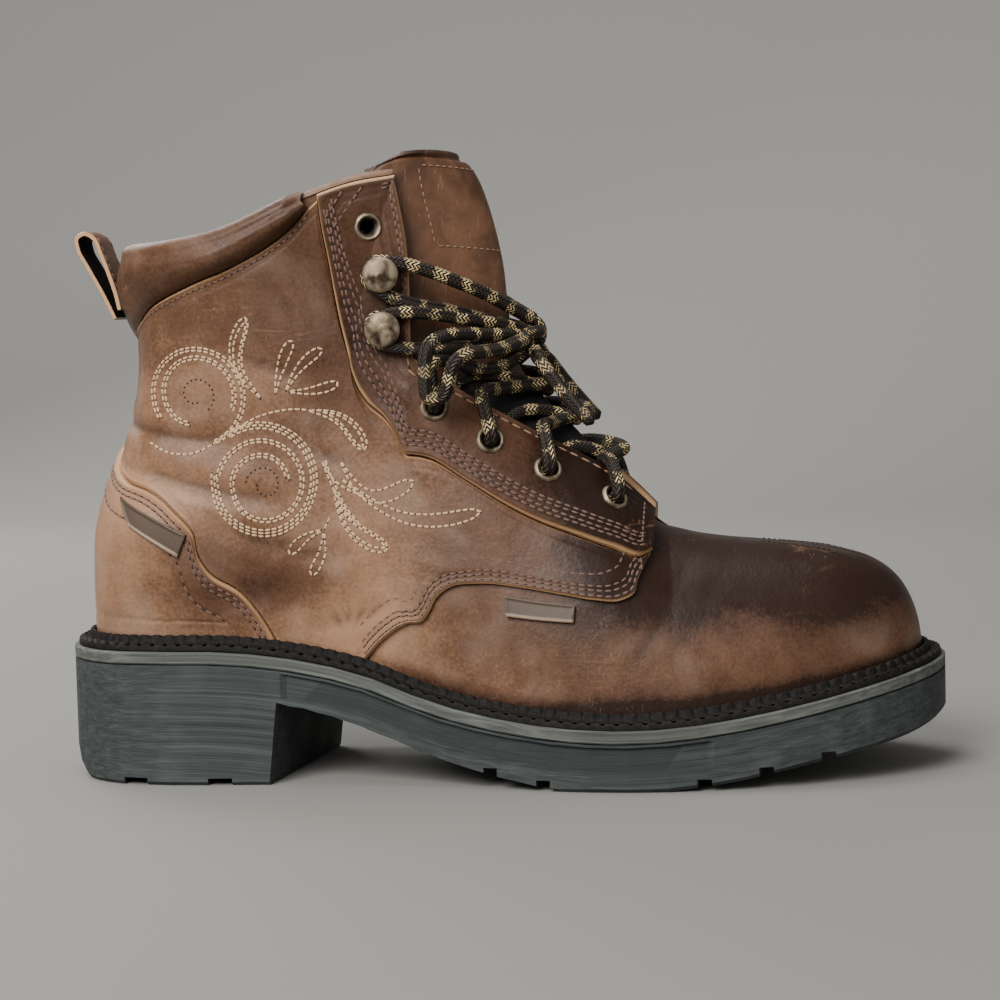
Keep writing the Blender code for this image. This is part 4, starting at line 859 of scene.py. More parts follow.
def leather_shade(name, tint=(1.0, 1.0, 1.0), roughness=0.44):
    """Oiled leather: it pales where it is pulled, with a fine grain, rubs and scratches. Its tone mark also
    holds painted sheen and painted shade in places, and it is painted darker in the troughs of the creases
    as shade.
    """
    shade = Shade(name, roughness, coat=0.01, specular=0.20)
    tone, raw, crease_shade_and_cloth = shade.marks()
    broad = shade.noise(shade.place, 26.0, 4.0, 0.4)
    cloud = shade.noise(shade.place, 120.0, 5.0, 0.6)
    fine = shade.noise(shade.place, 900.0, 3.0)
    level = tone
    for grain, swing in ((broad, 0.13), (cloud, 0.06), (fine, 0.08)):
        level = shade.plus(level, shade.span(grain, 0.3, 0.7, -swing, swing))
    tinted = [tuple(a * b for a, b in zip(c, tint)) for c in (DARK, MID, LIGHT)]
    colour = shade.ramp(level, (0.05, tinted[0]), (0.5, tinted[1]), (0.95, tinted[2]))
    bloom = shade.noise(shade.place, 40.0, 3.0, 0.8)
    bloom = shade.times(shade.span(bloom, 0.50, 0.72, 0.0, 0.36), shade.span(tone, 0.18, 0.55))
    colour = shade.mix(bloom, colour, GREY)
    streak = shade.noise(shade.scaled(shade.place, (60.0, 60.0, 420.0)), 1.0, 4.0, 1.6)
    patch = shade.noise(shade.place, 22.0, 2.0)
    rub = shade.times(shade.span(streak, 0.60, 0.72), shade.span(patch, 0.50, 0.66))
    colour = shade.mix(shade.times(rub, 0.35), colour, SCUFF)
    slash = shade.noise(shade.scaled(shade.place, (900.0, 60.0, 240.0)), 1.0, 3.0, 2.2)
    slash = shade.times(shade.span(slash, 0.64, 0.70), shade.span(patch, 0.46, 0.60))
    colour = shade.mix(shade.times(slash, 0.30), colour, SCUFF)
    # Painted shade: darker in the troughs of the creases.
    colour = shade.mix(shade.times(crease_shade_and_cloth, 0.55), colour, DARK)
    colour = shade.mix(raw, colour, RAW)
    shade.colour(colour)
    shade.roughness(shade.span(shade.plus(cloud, rub), 0.3, 1.2, roughness - 0.07, 0.70))
    shade.relief(
        (shade.cells(shade.place, 620.0), 0.22, 0.00025),
        (fine, 0.25, 0.00025),
        (shade.noise(shade.place, 210.0, 5.0, 0.5), 0.22, 0.0009),
    )
    return shade.material


def suede_shade(name, colour):
    """Napped lining leather or dense cloth."""
    shade = Shade(name, 0.95, specular=0.15)
    nap = shade.noise(shade.place, 700.0, 4.0)
    broad = shade.noise(shade.place, 60.0, 3.0)
    value = shade.plus(shade.times(nap, 0.5), shade.times(broad, 0.5))
    shade.colour(shade.ramp(value, (0.3, toned(colour, 0.55)), (0.5, colour), (0.7, toned(colour, 1.7))))
    shade.relief((nap, 0.35, 0.0004))
    return shade.material


def tongue_shade(name):
    """Orange-brown leather above, dark woven cloth below, split at a height above the throat."""
    shade = Shade(name, 0.5, coat=0.03, specular=0.35)
    tone, raw, crease_shade_and_cloth = shade.marks()
    cloud = shade.noise(shade.place, 110.0, 5.0, 0.6)
    fine = shade.noise(shade.place, 900.0, 3.0)
    level = shade.plus(tone, shade.span(cloud, 0.3, 0.7, -0.25, 0.25))
    colour = shade.ramp(level, (0.1, (0.022, 0.0085, 0.0036)), (0.5, (0.066, 0.027, 0.0118)),
                        (0.9, (0.130, 0.058, 0.027)))
    streak = shade.noise(shade.scaled(shade.place, (700.0, 80.0, 90.0)), 1.0, 3.0, 1.6)
    colour = shade.mix(shade.span(streak, 0.62, 0.70, 0.0, 0.35), colour, SCUFF)
    weave = shade.noise(shade.scaled(shade.place, (900.0, 2400.0, 900.0)), 1.0, 2.0)
    cloth = shade.ramp(weave, (0.35, (0.002, 0.002, 0.002)), (0.65, (0.008, 0.008, 0.008)))
    colour = shade.mix(crease_shade_and_cloth, colour, cloth)
    colour = shade.mix(raw, colour, (0.03, 0.018, 0.012))
    shade.colour(colour)
    shade.roughness(shade.mix(crease_shade_and_cloth, shade.span(cloud, 0.3, 0.8, 0.42, 0.62), (0.9, 0.9, 0.9)))
    shade.relief((fine, 0.3, 0.0003), (cloud, 0.25, 0.0009))
    return shade.material


PANEL_LEAN = 0.8  # how far the panel's ends lean forward for each metre up


def sunk_panel_shade(shade, flow):
    """Where the sunk panel of the sole's side lies: it is painted darker than the rubber round it, as shade
    in the recess.
    """
    along, below, _ = shade.parts(flow)
    slant = shade.plus(along, shade.times(below, -PANEL_LEAN))
    ends = shade.times(shade.span(slant, 0.1885, 0.1880), shade.span(slant, 0.0780, 0.0790))
    edges = shade.times(shade.span(below, -0.0046, -0.0051), shade.span(below, -0.0130, -0.0122))
    return shade.times(shade.times(ends, edges), 0.62)


def rubber_shade(name, colour, line_strength=0.5, pale=1.9):
    """Brushed rubber: long scuffs along the edge, dust in the low spots, and painted shade in the sunk panel
    of the side.
    """
    shade = Shade(name, 0.72, specular=0.3)
    flow = shade.attribute("flow", "Vector")
    streak = shade.noise(shade.scaled(flow, (22.0, 2600.0, 900.0)), 1.0, 4.0, 0.3)
    long_streak = shade.noise(shade.scaled(flow, (9.0, 700.0, 260.0)), 1.0, 4.0, 0.6)
    mottle = shade.noise(shade.place, 90.0, 4.0)
    deep = toned(colour, 0.55)
    both = shade.plus(shade.times(streak, line_strength),
                      shade.times(long_streak, 1.0 - line_strength))
    tinted = shade.ramp(both, (0.34, deep), (0.5, colour), (0.68, toned(colour, pale)))
    dusty = shade.mix(shade.span(mottle, 0.5, 0.8, 0.0, 0.35), tinted, (0.085, 0.088, 0.082))
    # Painted shade in the sunk panel: the recess is darkened to the deep rubber tone.
    dusty = shade.mix(sunk_panel_shade(shade, flow), dusty, deep)
    shade.colour(dusty)
    shade.roughness(shade.span(mottle, 0.3, 0.7, 0.60, 0.85))
    shade.relief((streak, 0.30, 0.0004), (shade.noise(shade.place, 1500.0, 3.0), 0.15, 0.0002))
    return shade.material


def welt_shade(name):
    shade = Shade(name, 0.72, specular=0.2)
    grain = shade.noise(shade.place, 500.0, 4.0)
    shade.colour(shade.ramp(grain, (0.3, (0.0020, 0.0015, 0.0013)), (0.55, (0.0060, 0.0042, 0.0034)),
                            (0.8, (0.020, 0.013, 0.009))))
    shade.relief((grain, 0.4, 0.0004))
    return shade.material


def metal_shade(name):
    """Antique nickel-brass: worn bright on the high parts, brown in the hollows."""
    shade = Shade(name, 0.34, metallic=1.0)
    tarnish = shade.noise(shade.place, 260.0, 5.0, 0.4)
    pits = shade.noise(shade.place, 1500.0, 3.0)
    edge = shade.node("NewGeometry", "Pointiness")
    worn = shade.plus(shade.span(edge, 0.46, 0.56), shade.span(tarnish, 0.35, 0.7, -0.5, 0.5))
    shade.colour(shade.ramp(worn, (0.1, (0.050, 0.036, 0.023)), (0.5, (0.145, 0.110, 0.074)),
                            (0.9, (0.34, 0.27, 0.19))))
    shade.roughness(shade.span(tarnish, 0.3, 0.7, 0.46, 0.66))
    shade.relief((pits, 0.12, 0.0002))
    return shade.material


def lace_shade(name):
    """Round braid: near-black and brown yarns with cream flecks that come in bright patches."""
    shade = Shade(name, 0.62, specular=0.3)
    turn, run = shade.along()
    lanes = shade.times(turn, 12.0)
    saw = shade.math("PINGPONG", lanes, 1.0)
    step = shade.math("FRACT", shade.plus(shade.times(run, 3.0), saw))
    fleck = shade.math("LESS_THAN", step, 0.40)
    lane_mask = shade.math("GREATER_THAN", shade.math("FRACT", shade.times(turn, 6.0)), 0.42)
    patch = shade.math("SINE", shade.times(run, 2.9))
    patch = shade.plus(patch, shade.span(shade.noise(shade.place, 230.0, 2.0), 0.3, 0.7, -1.3, 1.1))
    bright = shade.times(fleck, shade.span(patch, -0.05, 0.65, 0.05, 1.0))
    bright = shade.times(bright, shade.math("MAXIMUM", lane_mask, shade.span(patch, 0.2, 0.9)))
    yarn = shade.mix(shade.math("FRACT", shade.times(lanes, 0.5)),
                     (0.0028, 0.0022, 0.0020), (0.016, 0.0085, 0.0048))
    shade.colour(shade.mix(bright, yarn, (0.56, 0.42, 0.20)))
    weave = shade.math("PINGPONG", step, 0.5)
    shade.relief((weave, 0.8, 0.0008), (shade.noise(shade.place, 2500.0, 2.0), 0.2, 0.0002))
    return shade.material


def thread_shade(name, colour):
    shade = Shade(name, 0.70, sheen=0.1)
    twist = shade.noise(shade.place, 2600.0, 2.0)
    shade.colour(shade.ramp(twist, (0.3, toned(colour, 0.55)), (0.65, colour)))
    return shade.material


def plain_shade(name, colour, roughness):
    shade = Shade(name, roughness)
    grain = shade.noise(shade.place, 900.0, 3.0)
    shade.colour(shade.ramp(grain, (0.3, toned(colour, 0.8)), (0.7, colour)))
    return shade.material


def floor_shade(name):
    """Pale floor whose colour is painted lighter with its distance behind the boot: a painted light falloff,
    dim in front and bright up the back wall.
    """
    shade = Shade(name, 0.85)
    far = shade.span(shade.parts(shade.place)[1], -0.5, 1.6)
    # Painted light: the floor is darker near the front and lighter toward the back wall.
    shade.colour(shade.ramp(far, (0.0, (0.150, 0.145, 0.131)), (0.5, (0.270, 0.262, 0.240)),
                            (1.0, (0.470, 0.455, 0.420))))
    return shade.material


LOOKS = {
    "leather": leather_shade("leather_oiled"),
    "leather_dark": leather_shade("leather_oiled_dark", (0.80, 0.76, 0.74), 0.42),
    "tongue": tongue_shade("tongue_two_part"),
    "lining": suede_shade("lining_nap", (0.014, 0.009, 0.006)),
    "rubber": rubber_shade("rubber_slate", (0.030, 0.0355, 0.0345)),
    "rubber_strip": rubber_shade("rubber_strip", (0.075, 0.080, 0.071), 0.35, 1.8),
    "welt": welt_shade("welt_black_brown"),
    "metal": metal_shade("metal_antique"),
    "lace": lace_shade("lace_braid"),
    "thread_brown": thread_shade("thread_brown", (0.150, 0.075, 0.050)),
    "thread_tan": thread_shade("thread_tan", (0.300, 0.170, 0.088)),
    "thread_pale": thread_shade("thread_pale", (0.660, 0.420, 0.235)),
    # Painted shade: near-black for the dark inside of needle holes and of the eyelets' bores.
    "hole": plain_shade("needle_hole_shade", (0.012, 0.007, 0.005), 0.9),
    "tag": plain_shade("tag_bronze", (0.062, 0.036, 0.019), 0.55),
    "tag_lip": plain_shade("tag_lip", (0.190, 0.118, 0.064), 0.5),
}


# Making meshes


def body(name, vertices, faces, looks, stands_for=(), face_looks=None, marks=None, smooth=40.0):
    """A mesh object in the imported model's frame that rides on the root."""
    mesh = bpy.data.meshes.new(name)
    mesh.from_pydata([tuple(p) for p in vertices], [], [tuple(int(i) for i in f) for f in faces])
    for look in looks:
        mesh.materials.append(LOOKS[look])
    if face_looks is not None:
        mesh.polygons.foreach_set("material_index", np.asarray(face_looks, np.int32))
    if marks is not None:
        layer = mesh.attributes.new("marks", "FLOAT_COLOR", "POINT")
        values = np.ones((len(vertices), 4), np.float32)
        values[:, :3] = marks
        layer.data.foreach_set("color", values.ravel())
    mesh.validate()
    mesh.shade_smooth()
    mesh.set_sharp_from_angle(angle=math.radians(smooth))
    made = bpy.data.objects.new(name, mesh)
    bpy.context.scene.collection.objects.link(made)
    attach(made, "root")
    if stands_for:
        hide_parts(*stands_for)
    return made


def grid_faces(rows, columns, base=0, flip=False, ring=False):
    """Quads of a grid of points stored row by row."""
    last = rows if ring else rows - 1
    i, j = np.meshgrid(np.arange(last), np.arange(columns - 1), indexing="ij")
    k = (i + 1) % rows
    quads = np.stack([i * columns + j, k * columns + j, k * columns + j + 1, i * columns + j + 1], -1)
    quads = quads.reshape(-1, 4) + base
    return quads[:, ::-1] if flip else quads


def rim_faces(rows, columns):
    """Quads round the four borders that join two grids stored one after the other."""
    base = rows * columns
    index = np.arange(base).reshape(rows, columns)
    borders = (index[:, 0], index[:, -1][::-1], index[0][::-1], index[-1])
    return np.concatenate(
        [np.stack([b[:-1], b[1:], b[1:] + base, b[:-1] + base], -1) for b in borders]
    )


def slab_faces(rows, columns):
    """Faces of a closed piece between two grids: its front, its back and its rim."""
    back = grid_faces(rows, columns, rows * columns, True)
    return [grid_faces(rows, columns), back, rim_faces(rows, columns)]


def two_sheets(outer, inner):
    """Seated points of two grids, one after the other."""
    return seat(np.concatenate([outer.reshape(-1, 3), inner.reshape(-1, 3)]))


def resample(points, spacing):
    """Points at an even spacing along a smooth line."""
    points = np.asarray(points, float)
    run = lengths(points)
    count = max(3, int(round(run[-1] / spacing)) + 1)
    return hermite(run, points, np.linspace(0, run[-1], count))


# Creases and tone of the leather, with painted shade in the creases and painted sheen and shade in the tone


def bell(value, centre, width):
    """A hump of height 1 at centre that dies away over a few widths."""
    return np.exp(-(((value - centre) / width) ** 2))


def smooth_step(value, low, high):
    t = np.clip((value - low) / (high - low), 0, 1)
    return t * t * (3 - 2 * t)


# Creases seen from the side, from one end to the other, with depth and width in millimetres
CreaseRow = namedtuple("CreaseRow", "from_along from_rise to_along to_rise depth width")
CREASES = [
    CreaseRow(0.595, 0.62, 0.655, 0.86, 0.08, 7.0),
    CreaseRow(0.650, 0.48, 0.722, 0.93, 0.12, 8.5),
    CreaseRow(0.700, 0.56, 0.765, 0.92, 0.06, 7.0),
    CreaseRow(0.105, 1.19, 0.262, 1.10, 1.10, 8.0),
    CreaseRow(0.070, 1.33, 0.200, 1.27, 0.80, 7.0),
    CreaseRow(0.210, 1.02, 0.330, 0.93, 0.70, 7.0),
    CreaseRow(0.270, 1.30, 0.345, 1.20, 0.60, 6.0),
    CreaseRow(0.300, 0.66, 0.380, 0.72, 0.45, 6.0),
    CreaseRow(0.215, 1.52, 0.300, 1.46, 0.55, 7.0),
]


CREASE_BOW = 0.0015  # how far the middle of a crease bends off its straight line
RIPPLE = 0.00022  # height of the gentle waves all over the leather


def crease_at(points):
    """Lift of the leather in metres at points of the wall, and how deep in the troughs of the creases each
    is, which sets the painted shade there.
    """
    x, z = points[..., 0], points[..., 2]
    lift, crease_shading = np.zeros(x.shape), np.zeros(x.shape)
    for row in CREASES:
        start = np.array([row.from_along * SOLE_LENGTH, float(height(row.from_rise))])
        end = np.array([row.to_along * SOLE_LENGTH, float(height(row.to_rise))])
        span = end - start
        t = ((x - start[0]) * span[0] + (z - start[1]) * span[1]) / (span @ span)
        bow = CREASE_BOW * np.sin(math.pi * np.clip(t, 0, 1))
        off = ((x - start[0]) * span[1] - (z - start[1]) * span[0]) / np.linalg.norm(span) - bow
        fade = smooth_step(t, -0.25, 0.30) * (1 - smooth_step(t, 0.70, 1.25))
        width = 0.001 * row.width
        depth = 0.001 * row.depth * fade
        lift = lift - depth * bell(off, 0, 0.36 * width)
        lift = lift + 0.55 * depth * bell(np.abs(off), 0.75 * width, 0.5 * width)
        crease_shading = np.maximum(crease_shading, fade * bell(off, 0, 0.22 * width))
    wave = np.sin(78 * x + 31 * z) * np.sin(64 * z - 40 * x + 1.3) + 0.5 * np.sin(150 * x - 90 * z)
    return lift + RIPPLE * wave, crease_shading


# Soft spots where the tone is raised, or lowered for a negative amount. The spots at 0.34 and 0.36 along are
# painted sheen, pale low on the quarter, and the one at 0.245 along is painted shade in the hollow below the
# lower scroll.
ToneRow = namedtuple("ToneRow", "along rise wide high amount")
TONE_SPOTS = [
    ToneRow(0.34, 0.62, 0.10, 0.22, 0.50),
    ToneRow(0.36, 1.05, 0.09, 0.28, 0.20),
    ToneRow(0.30, 1.45, 0.16, 0.40, 0.10),
    ToneRow(0.135, 1.13, 0.06, 0.13, 0.30),
    ToneRow(0.190, 1.62, 0.10, 0.16, 0.12),
    ToneRow(0.245, 0.79, 0.10, 0.10, -0.34),
    ToneRow(0.150, 0.98, 0.05, 0.10, -0.22),
    ToneRow(0.330, 1.72, 0.09, 0.30, -0.16),
    ToneRow(0.470, 0.80, 0.07, 0.22, -0.12),
]


def tone_at(points):
    """How pale the leather is: 0 dark, 1 pale. Paler at the heel and darker over the vamp, most at its top
    and its foot, with a painted sheen in a band low on the vamp and painted sheen and shade in some of the
    spots.
    """
    x, z = points[..., 0] / SOLE_LENGTH, points[..., 2]
    rise = z / VAMP_HEIGHT
    heel = 0.34 * (1 - smooth_step(x, 0.05, 0.24)) * (1 - smooth_step(rise, 1.25, 1.75))
    fore = smooth_step(x, 0.50, 0.66)
    # The bell at rise 0.5 is a painted sheen: a pale band low on the vamp.
    vamp = fore * (0.34 * bell(rise, 0.50, 0.20) - 0.26 * smooth_step(rise, 0.50, 0.80) - 0.44)
    vamp = vamp - fore * 0.40 * (1 - smooth_step(rise, 0.26, 0.40)) * (1 - smooth_step(x, 0.92, 0.99))
    toe = 0.10 * smooth_step(x, 0.84, 0.96)
    spots = sum(
        row.amount * np.exp(-(((x - row.along) / row.wide) ** 2) - (((rise - row.rise) / row.high) ** 2))
        for row in TONE_SPOTS
    )
    shaft = -0.06 * smooth_step(rise, 1.3, 1.9)
    clear = points[..., 2] - sole_top(points[..., 0])
    seat_band = -0.42 * (1 - smooth_step(clear, 0.0035, 0.0095)) * smooth_step(x, 0.30, 0.42)
    return 0.50 + heel + vamp + toe + spots + shaft + seat_band


def skin(side, shares, lift):
    """Points of the creased wall at a lift, its outward directions, its tone, and the painted shade in the
    troughs of the creases.
    """
    base = form_at(side, shares)
    extra, crease_shading = crease_at(base)
    normal = form_normal(side, shares[..., 0], shares[..., 1])
    points = base + normal * (np.asarray(lift, float) + extra)[..., None]
    return points, normal, tone_at(base), crease_shading


# Leather pieces laid on the wall

EDGE_ROUND = 0.0009  # radius of a cut edge's worn corner
EDGE_BAND = 0.008  # rows of points are close together this far in from an edge
EDGE_PALE = 0.10  # the leather's tone rises by this much along a cut edge
EDGE_PALE_WIDTH = 0.002
RAW_SHARE = 0.85  # of bare leather at the cut itself
RAW_WIDTH = 0.00035
EDGE_ROWS = 11
MIDDLE_ROWS = 44


def fine_ruled(side, low, high, trim_low, trim_high):
    """As ruled, with rows close together near both edges."""
    length = span_length(side, low, high)
    start, end = trim_low / length, 1 - trim_high / length
    band = np.minimum(EDGE_BAND / length, 0.42)
    near = np.linspace(0, 1, EDGE_ROWS)[None, :]
    middle = np.linspace(0, 1, MIDDLE_ROWS)[None, 1:-1]
    inner_low, inner_high = start + band, end - band
    rows = [
        start[:, None] + band[:, None] * near,
        inner_low[:, None] + (inner_high - inner_low)[:, None] * middle,
        end[:, None] - band[:, None] * near[:, ::-1],
    ]
    return between(low, high, np.concatenate(rows, axis=1))


def border_distance(points, ends):
    """Distance of each grid point to the nearest free border."""
    borders = [points[:, :1], points[:, -1:]]
    if ends[0]:
        borders.append(points[:1])
    if ends[1]:
        borders.append(points[-1:])
    return np.min([np.linalg.norm(points - border, axis=-1) for border in borders], axis=0)


def rounded(distance):
    """Share of the full thickness at a distance in from a cut edge."""
    t = np.clip(distance / EDGE_ROUND, 0, 1)
    return 0.55 + 0.45 * np.sqrt(1 - (1 - t) ** 2)


FURROW_DEPTH = 0.00028
FURROW_WIDTH = 0.0007


def furrows(distance, places):
    """Depth that rows of stitches press the leather in by."""
    depth = np.zeros(distance.shape)
    for centre in places:
        depth += FURROW_DEPTH * bell(distance, centre, FURROW_WIDTH)
    return depth


def joined(strips):
    """One side's strip, or the strips of both sides as one that passes round the back."""
    if len(strips) == 1:
        return strips[0]
    return np.concatenate([strips[0][::-1], strips[1][1:]])


def laid_piece(name, node, grids, lift, thickness, look, ends, rows=(), tone_shift=0.0, holes=()):
    """A leather piece of one or two joined grids, from its cut edges inwards."""
    strips = []
    for side, grid in grids:
        gap = border_distance(form_at(side, grid), ends)
        points, _, tone, crease_shading = skin(side, grid, lift + thickness * rounded(gap) - furrows(gap, rows))
        under = skin(side, grid, lift)[0]
        tone = tone + tone_shift + EDGE_PALE * bell(gap, 0, EDGE_PALE_WIDTH)
        strips.append((points, under, tone, RAW_SHARE * bell(gap, 0, RAW_WIDTH), crease_shading))
    outer, inner, tone, raw, crease_shading = (joined(pair) for pair in zip(*strips))
    count, across = outer.shape[:2]
    flip = grids[0][0] == OUTER
    faces = [
        keep_clear(grid_faces(count, across, flip=not flip), outer, holes),
        keep_clear(grid_faces(count, across, flip=flip), inner, holes) + count * across,
        rim_faces(count, across),
    ]
    marks = [np.stack([tone, cut, crease_shading], -1).reshape(-1, 3) for cut in (raw, 0.9 * (raw > 0.5))]
    made = body(name, two_sheets(outer, inner), np.concatenate(faces), [look], (node,),
                marks=np.concatenate(marks), smooth=50.0)
    face_outwards(made)


def face_outwards(made):
    """Turn a closed or nearly closed mesh's faces outwards."""
    work = bmesh.new()
    work.from_mesh(made.data)
    bmesh.ops.recalc_face_normals(work, faces=work.faces)
    work.to_mesh(made.data)
    work.free()


HOLE_REACH = 0.012  # of a fitting's hole along its axis, each way


def keep_clear(quads, points, holes):
    """Leave out the quads that lie inside a fitting's hole."""
    centres = points.reshape(-1, 3)[quads].mean(axis=1)
    keep = np.ones(len(quads), bool)
    for centre, axis, radius in holes:
        off = centres - centre
        beside = off - (off @ axis)[:, None] * axis
        keep &= (np.linalg.norm(beside, axis=1) >= radius) | (np.abs(off @ axis) >= HOLE_REACH)
    return quads[keep]


# Stitches

CAPSULE = [(-1.0, 0.10), (-0.82, 0.72), (-0.35, 1.0), (0.35, 1.0), (0.82, 0.72), (1.0, 0.10)]
CAPSULE_SIDES = 6


class Sewing:
    """Gathers stitches of one colour into one joined mesh."""

    def __init__(self, name, look):
        self.name, self.look = name, look
        self.vertices, self.faces = [], []
        self.count = 0

    def add(self, centres, along, normals, half, radius, flat=0.75):
        """A capsule at each centre, half its length each way along and flat in the normal."""
        across = unit(np.cross(normals, along))
        rings = []
        for s, r in CAPSULE:
            for i in range(CAPSULE_SIDES):
                angle = 2 * math.pi * i / CAPSULE_SIDES
                rings.append(centres + along * (s * half)
                             + across * (r * radius * math.cos(angle))
                             + normals * (r * radius * flat * math.sin(angle)))
        block = np.stack(rings, axis=1)
        total, each = block.shape[:2]
        ring, place = np.divmod(grid_faces(len(CAPSULE), CAPSULE_SIDES + 1), CAPSULE_SIDES + 1)
        quads = ring * CAPSULE_SIDES + place % CAPSULE_SIDES
        start = self.count + np.arange(total)[:, None, None] * each
        self.faces.append((quads[None] + start).reshape(-1, 4))
        self.vertices.append(block.reshape(-1, 3))
        self.count += total * each

    def line(self, points, normals, length, gap, radius, sink=0.25):
        """Stitches of a length and gap along a line of points on the leather.

        Gives back the place behind each stitch, with its normal and direction, or nothing
        where the line is shorter than one stitch.
        """
        run = lengths(points)
        if run[-1] < length:
            return None
        pitch = length + gap
        count = max(1, int((run[-1] - length) / pitch) + 1)
        at = 0.5 * length + np.arange(count) * pitch
        at += 0.5 * (run[-1] - (at[-1] + 0.5 * length))
        ahead, behind = at + 0.35 * length, at - 0.35 * length
        along = unit(read_off(ahead, run, points) - read_off(behind, run, points))
        normal = read_off(at, run, normals)
        normal = unit(normal - along * (normal * along).sum(1)[:, None])
        centre = read_off(at, run, points) - normal * sink * radius
        self.add(centre, along, normal, 0.5 * length, radius)
        return read_off(at + 0.5 * pitch, run, points), normal, along

    def finish(self):
        vertices = seat(np.concatenate(self.vertices))
        body(self.name, vertices, np.concatenate(self.faces), [self.look], smooth=60.0)


SEWN = {
    "brown": Sewing("stitches_brown", "thread_brown"),
    "tan": Sewing("stitches_tan", "thread_tan"),
    "pale": Sewing("stitches_pale", "thread_pale"),
    # Near-black dots of painted shade for the needle holes.
    "holes": Sewing("needle_hole_shades", "hole"),
}


PROUD = 0.00016  # thread stands this much above the leather it is pulled into
SUNK = 0.0002  # and its furrow lies this much below the leather's face


def sew(thread, side, shares, lift, length=0.0021, gap=0.0008, radius=0.00036, punch=True):
    """A row of stitches along shares of the wall, with a needle hole after each, drawn as a near-black dot
    of painted shade.
    """
    points, normals, _, _ = skin(side, shares, lift + PROUD)
    done = SEWN[thread].line(points, normals, length, gap, radius)
    if done is not None and punch:
        places, normal, along = done
        # The needle hole is a near-black dot, painted shade for the hole.
        SEWN["holes"].add(places - normal * 0.0001, along, normal, 0.42 * gap + 0.0001, 0.8 * radius,
                          0.5)


def inset_line(side, low, high, distance):
    """The line that lies a distance in from low, towards high."""
    return ruled(side, low, high, 1, distance, 0.0)[:, 0]


FINE = 150  # points of a seam drawn finely


def fine_counter(side):
    high = seam(side, COUNTER_EDGE, FINE)
    coarse_end = seam(side, COUNTER_EDGE, SEAM_POINTS)
    low = np.column_stack([np.linspace(0, coarse_end[-1, 0] - 0.010, FINE), np.zeros(FINE)])
    return low, high


def build_counter():
    pairs = {side: fine_counter(side) for side in SIDES}
    rows = (0.0022, 0.0038, 0.0104)
    grids = [(s, fine_ruled(s, *pairs[s], 0.0, SEAM_TRIM)) for s in SIDES]
    laid_piece("counter_leather", "counter", grids, BEND_GAP, COUNTER_THICKNESS, "leather",
               (False, True), rows)
    face = BEND_GAP + COUNTER_THICKNESS
    for side in SIDES:
        low, high = pairs[side]
        for distance in rows[:2]:
            sew("brown", side, inset_line(side, high, low, distance), face - SUNK)
        sew("brown", side, inset_line(side, high, low, rows[2])[: int(0.86 * FINE)], face - SUNK,
            0.0026, 0.0010)


PER_STEP = 10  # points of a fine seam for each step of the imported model's one
BACK_SEAM = 0.0007  # share round the sole where each quarter starts, beside the back seam


def fine_seam(side, rows, count):
    return seam(side, rows, (count - 1) * PER_STEP + 1)


def bridged(first, second, steps=1):
    """Two fine seams as one line, joined by a straight piece."""
    middle = np.linspace(first[-1], second[0], steps * PER_STEP + 1)[1:-1]
    return np.concatenate([first, middle, second])


def fine_quarter(side):
    """The quarter's low and high edges, matched point to point."""
    low = bridged(fine_seam(side, COUNTER_EDGE, SEAM_POINTS), fine_seam(side, VAMP_EDGE, STAY_POINTS - 1), 3)
    high = bridged(fine_seam(side, COLLAR_SEAM, SEAM_POINTS + 1), fine_seam(side, EYESTAY_EDGE, STAY_POINTS))
    low[0, 0] = high[0, 0] = BACK_SEAM
    return low, high


def build_quarters():
    rows = (0.0020, 0.0038)
    for side in SIDES:
        low, high = fine_quarter(side)
        grid = fine_ruled(side, low, high, SEAM_TRIM, SEAM_TRIM)
        name = SIDE_NAMES[side]
        laid_piece(f"quarter_leather_{name}", f"quarter_{name}", [(side, grid)], BEND_GAP,
                   QUARTER_THICKNESS, "leather", (False, True), rows)
        face = BEND_GAP + QUARTER_THICKNESS
        vamp = seam(side, VAMP_EDGE, FINE)
        stay = seam(side, EYESTAY_EDGE, FINE)
        for distance in (0.0019, 0.0040, 0.0058):
            line = inset_line(side, vamp, stay, distance)
            sew("brown", side, line[4:-3], face - SUNK, 0.0021, 0.0007)
        sew("brown", side, inset_line(side, vamp, stay, 0.0104)[6:-8], face - SUNK)
        bar = np.linspace(vamp[-6], stay[-5], 12)
        sew("brown", side, bar[1:-1], face - SUNK, 0.0018, 0.0006)
        collar = seam(side, COLLAR_SEAM, FINE)
        under = seam(side, COUNTER_EDGE, FINE)
        sew("brown", side, inset_line(side, collar, under, 0.0026), face - SUNK, 0.0016, 0.0008,
            0.00028)


COLLAR_PAD = 0.0060  # fullness of the cuff outside the wall
LINING_PAD = 0.0028  # and inside it, below the rim
ROLL_STEPS = 14


def collar_fullness(t):
    """Lift of the cuff across from its seam, at 0, to the rim, at 1."""
    rise = np.sin(0.5 * math.pi * np.clip(t / 0.50, 0, 1)) ** 0.75
    fall = 1 - 0.35 * smooth_step(t, 0.60, 1.0)
    return QUARTER_THICKNESS + (COLLAR_PAD - QUARTER_THICKNESS) * rise * fall


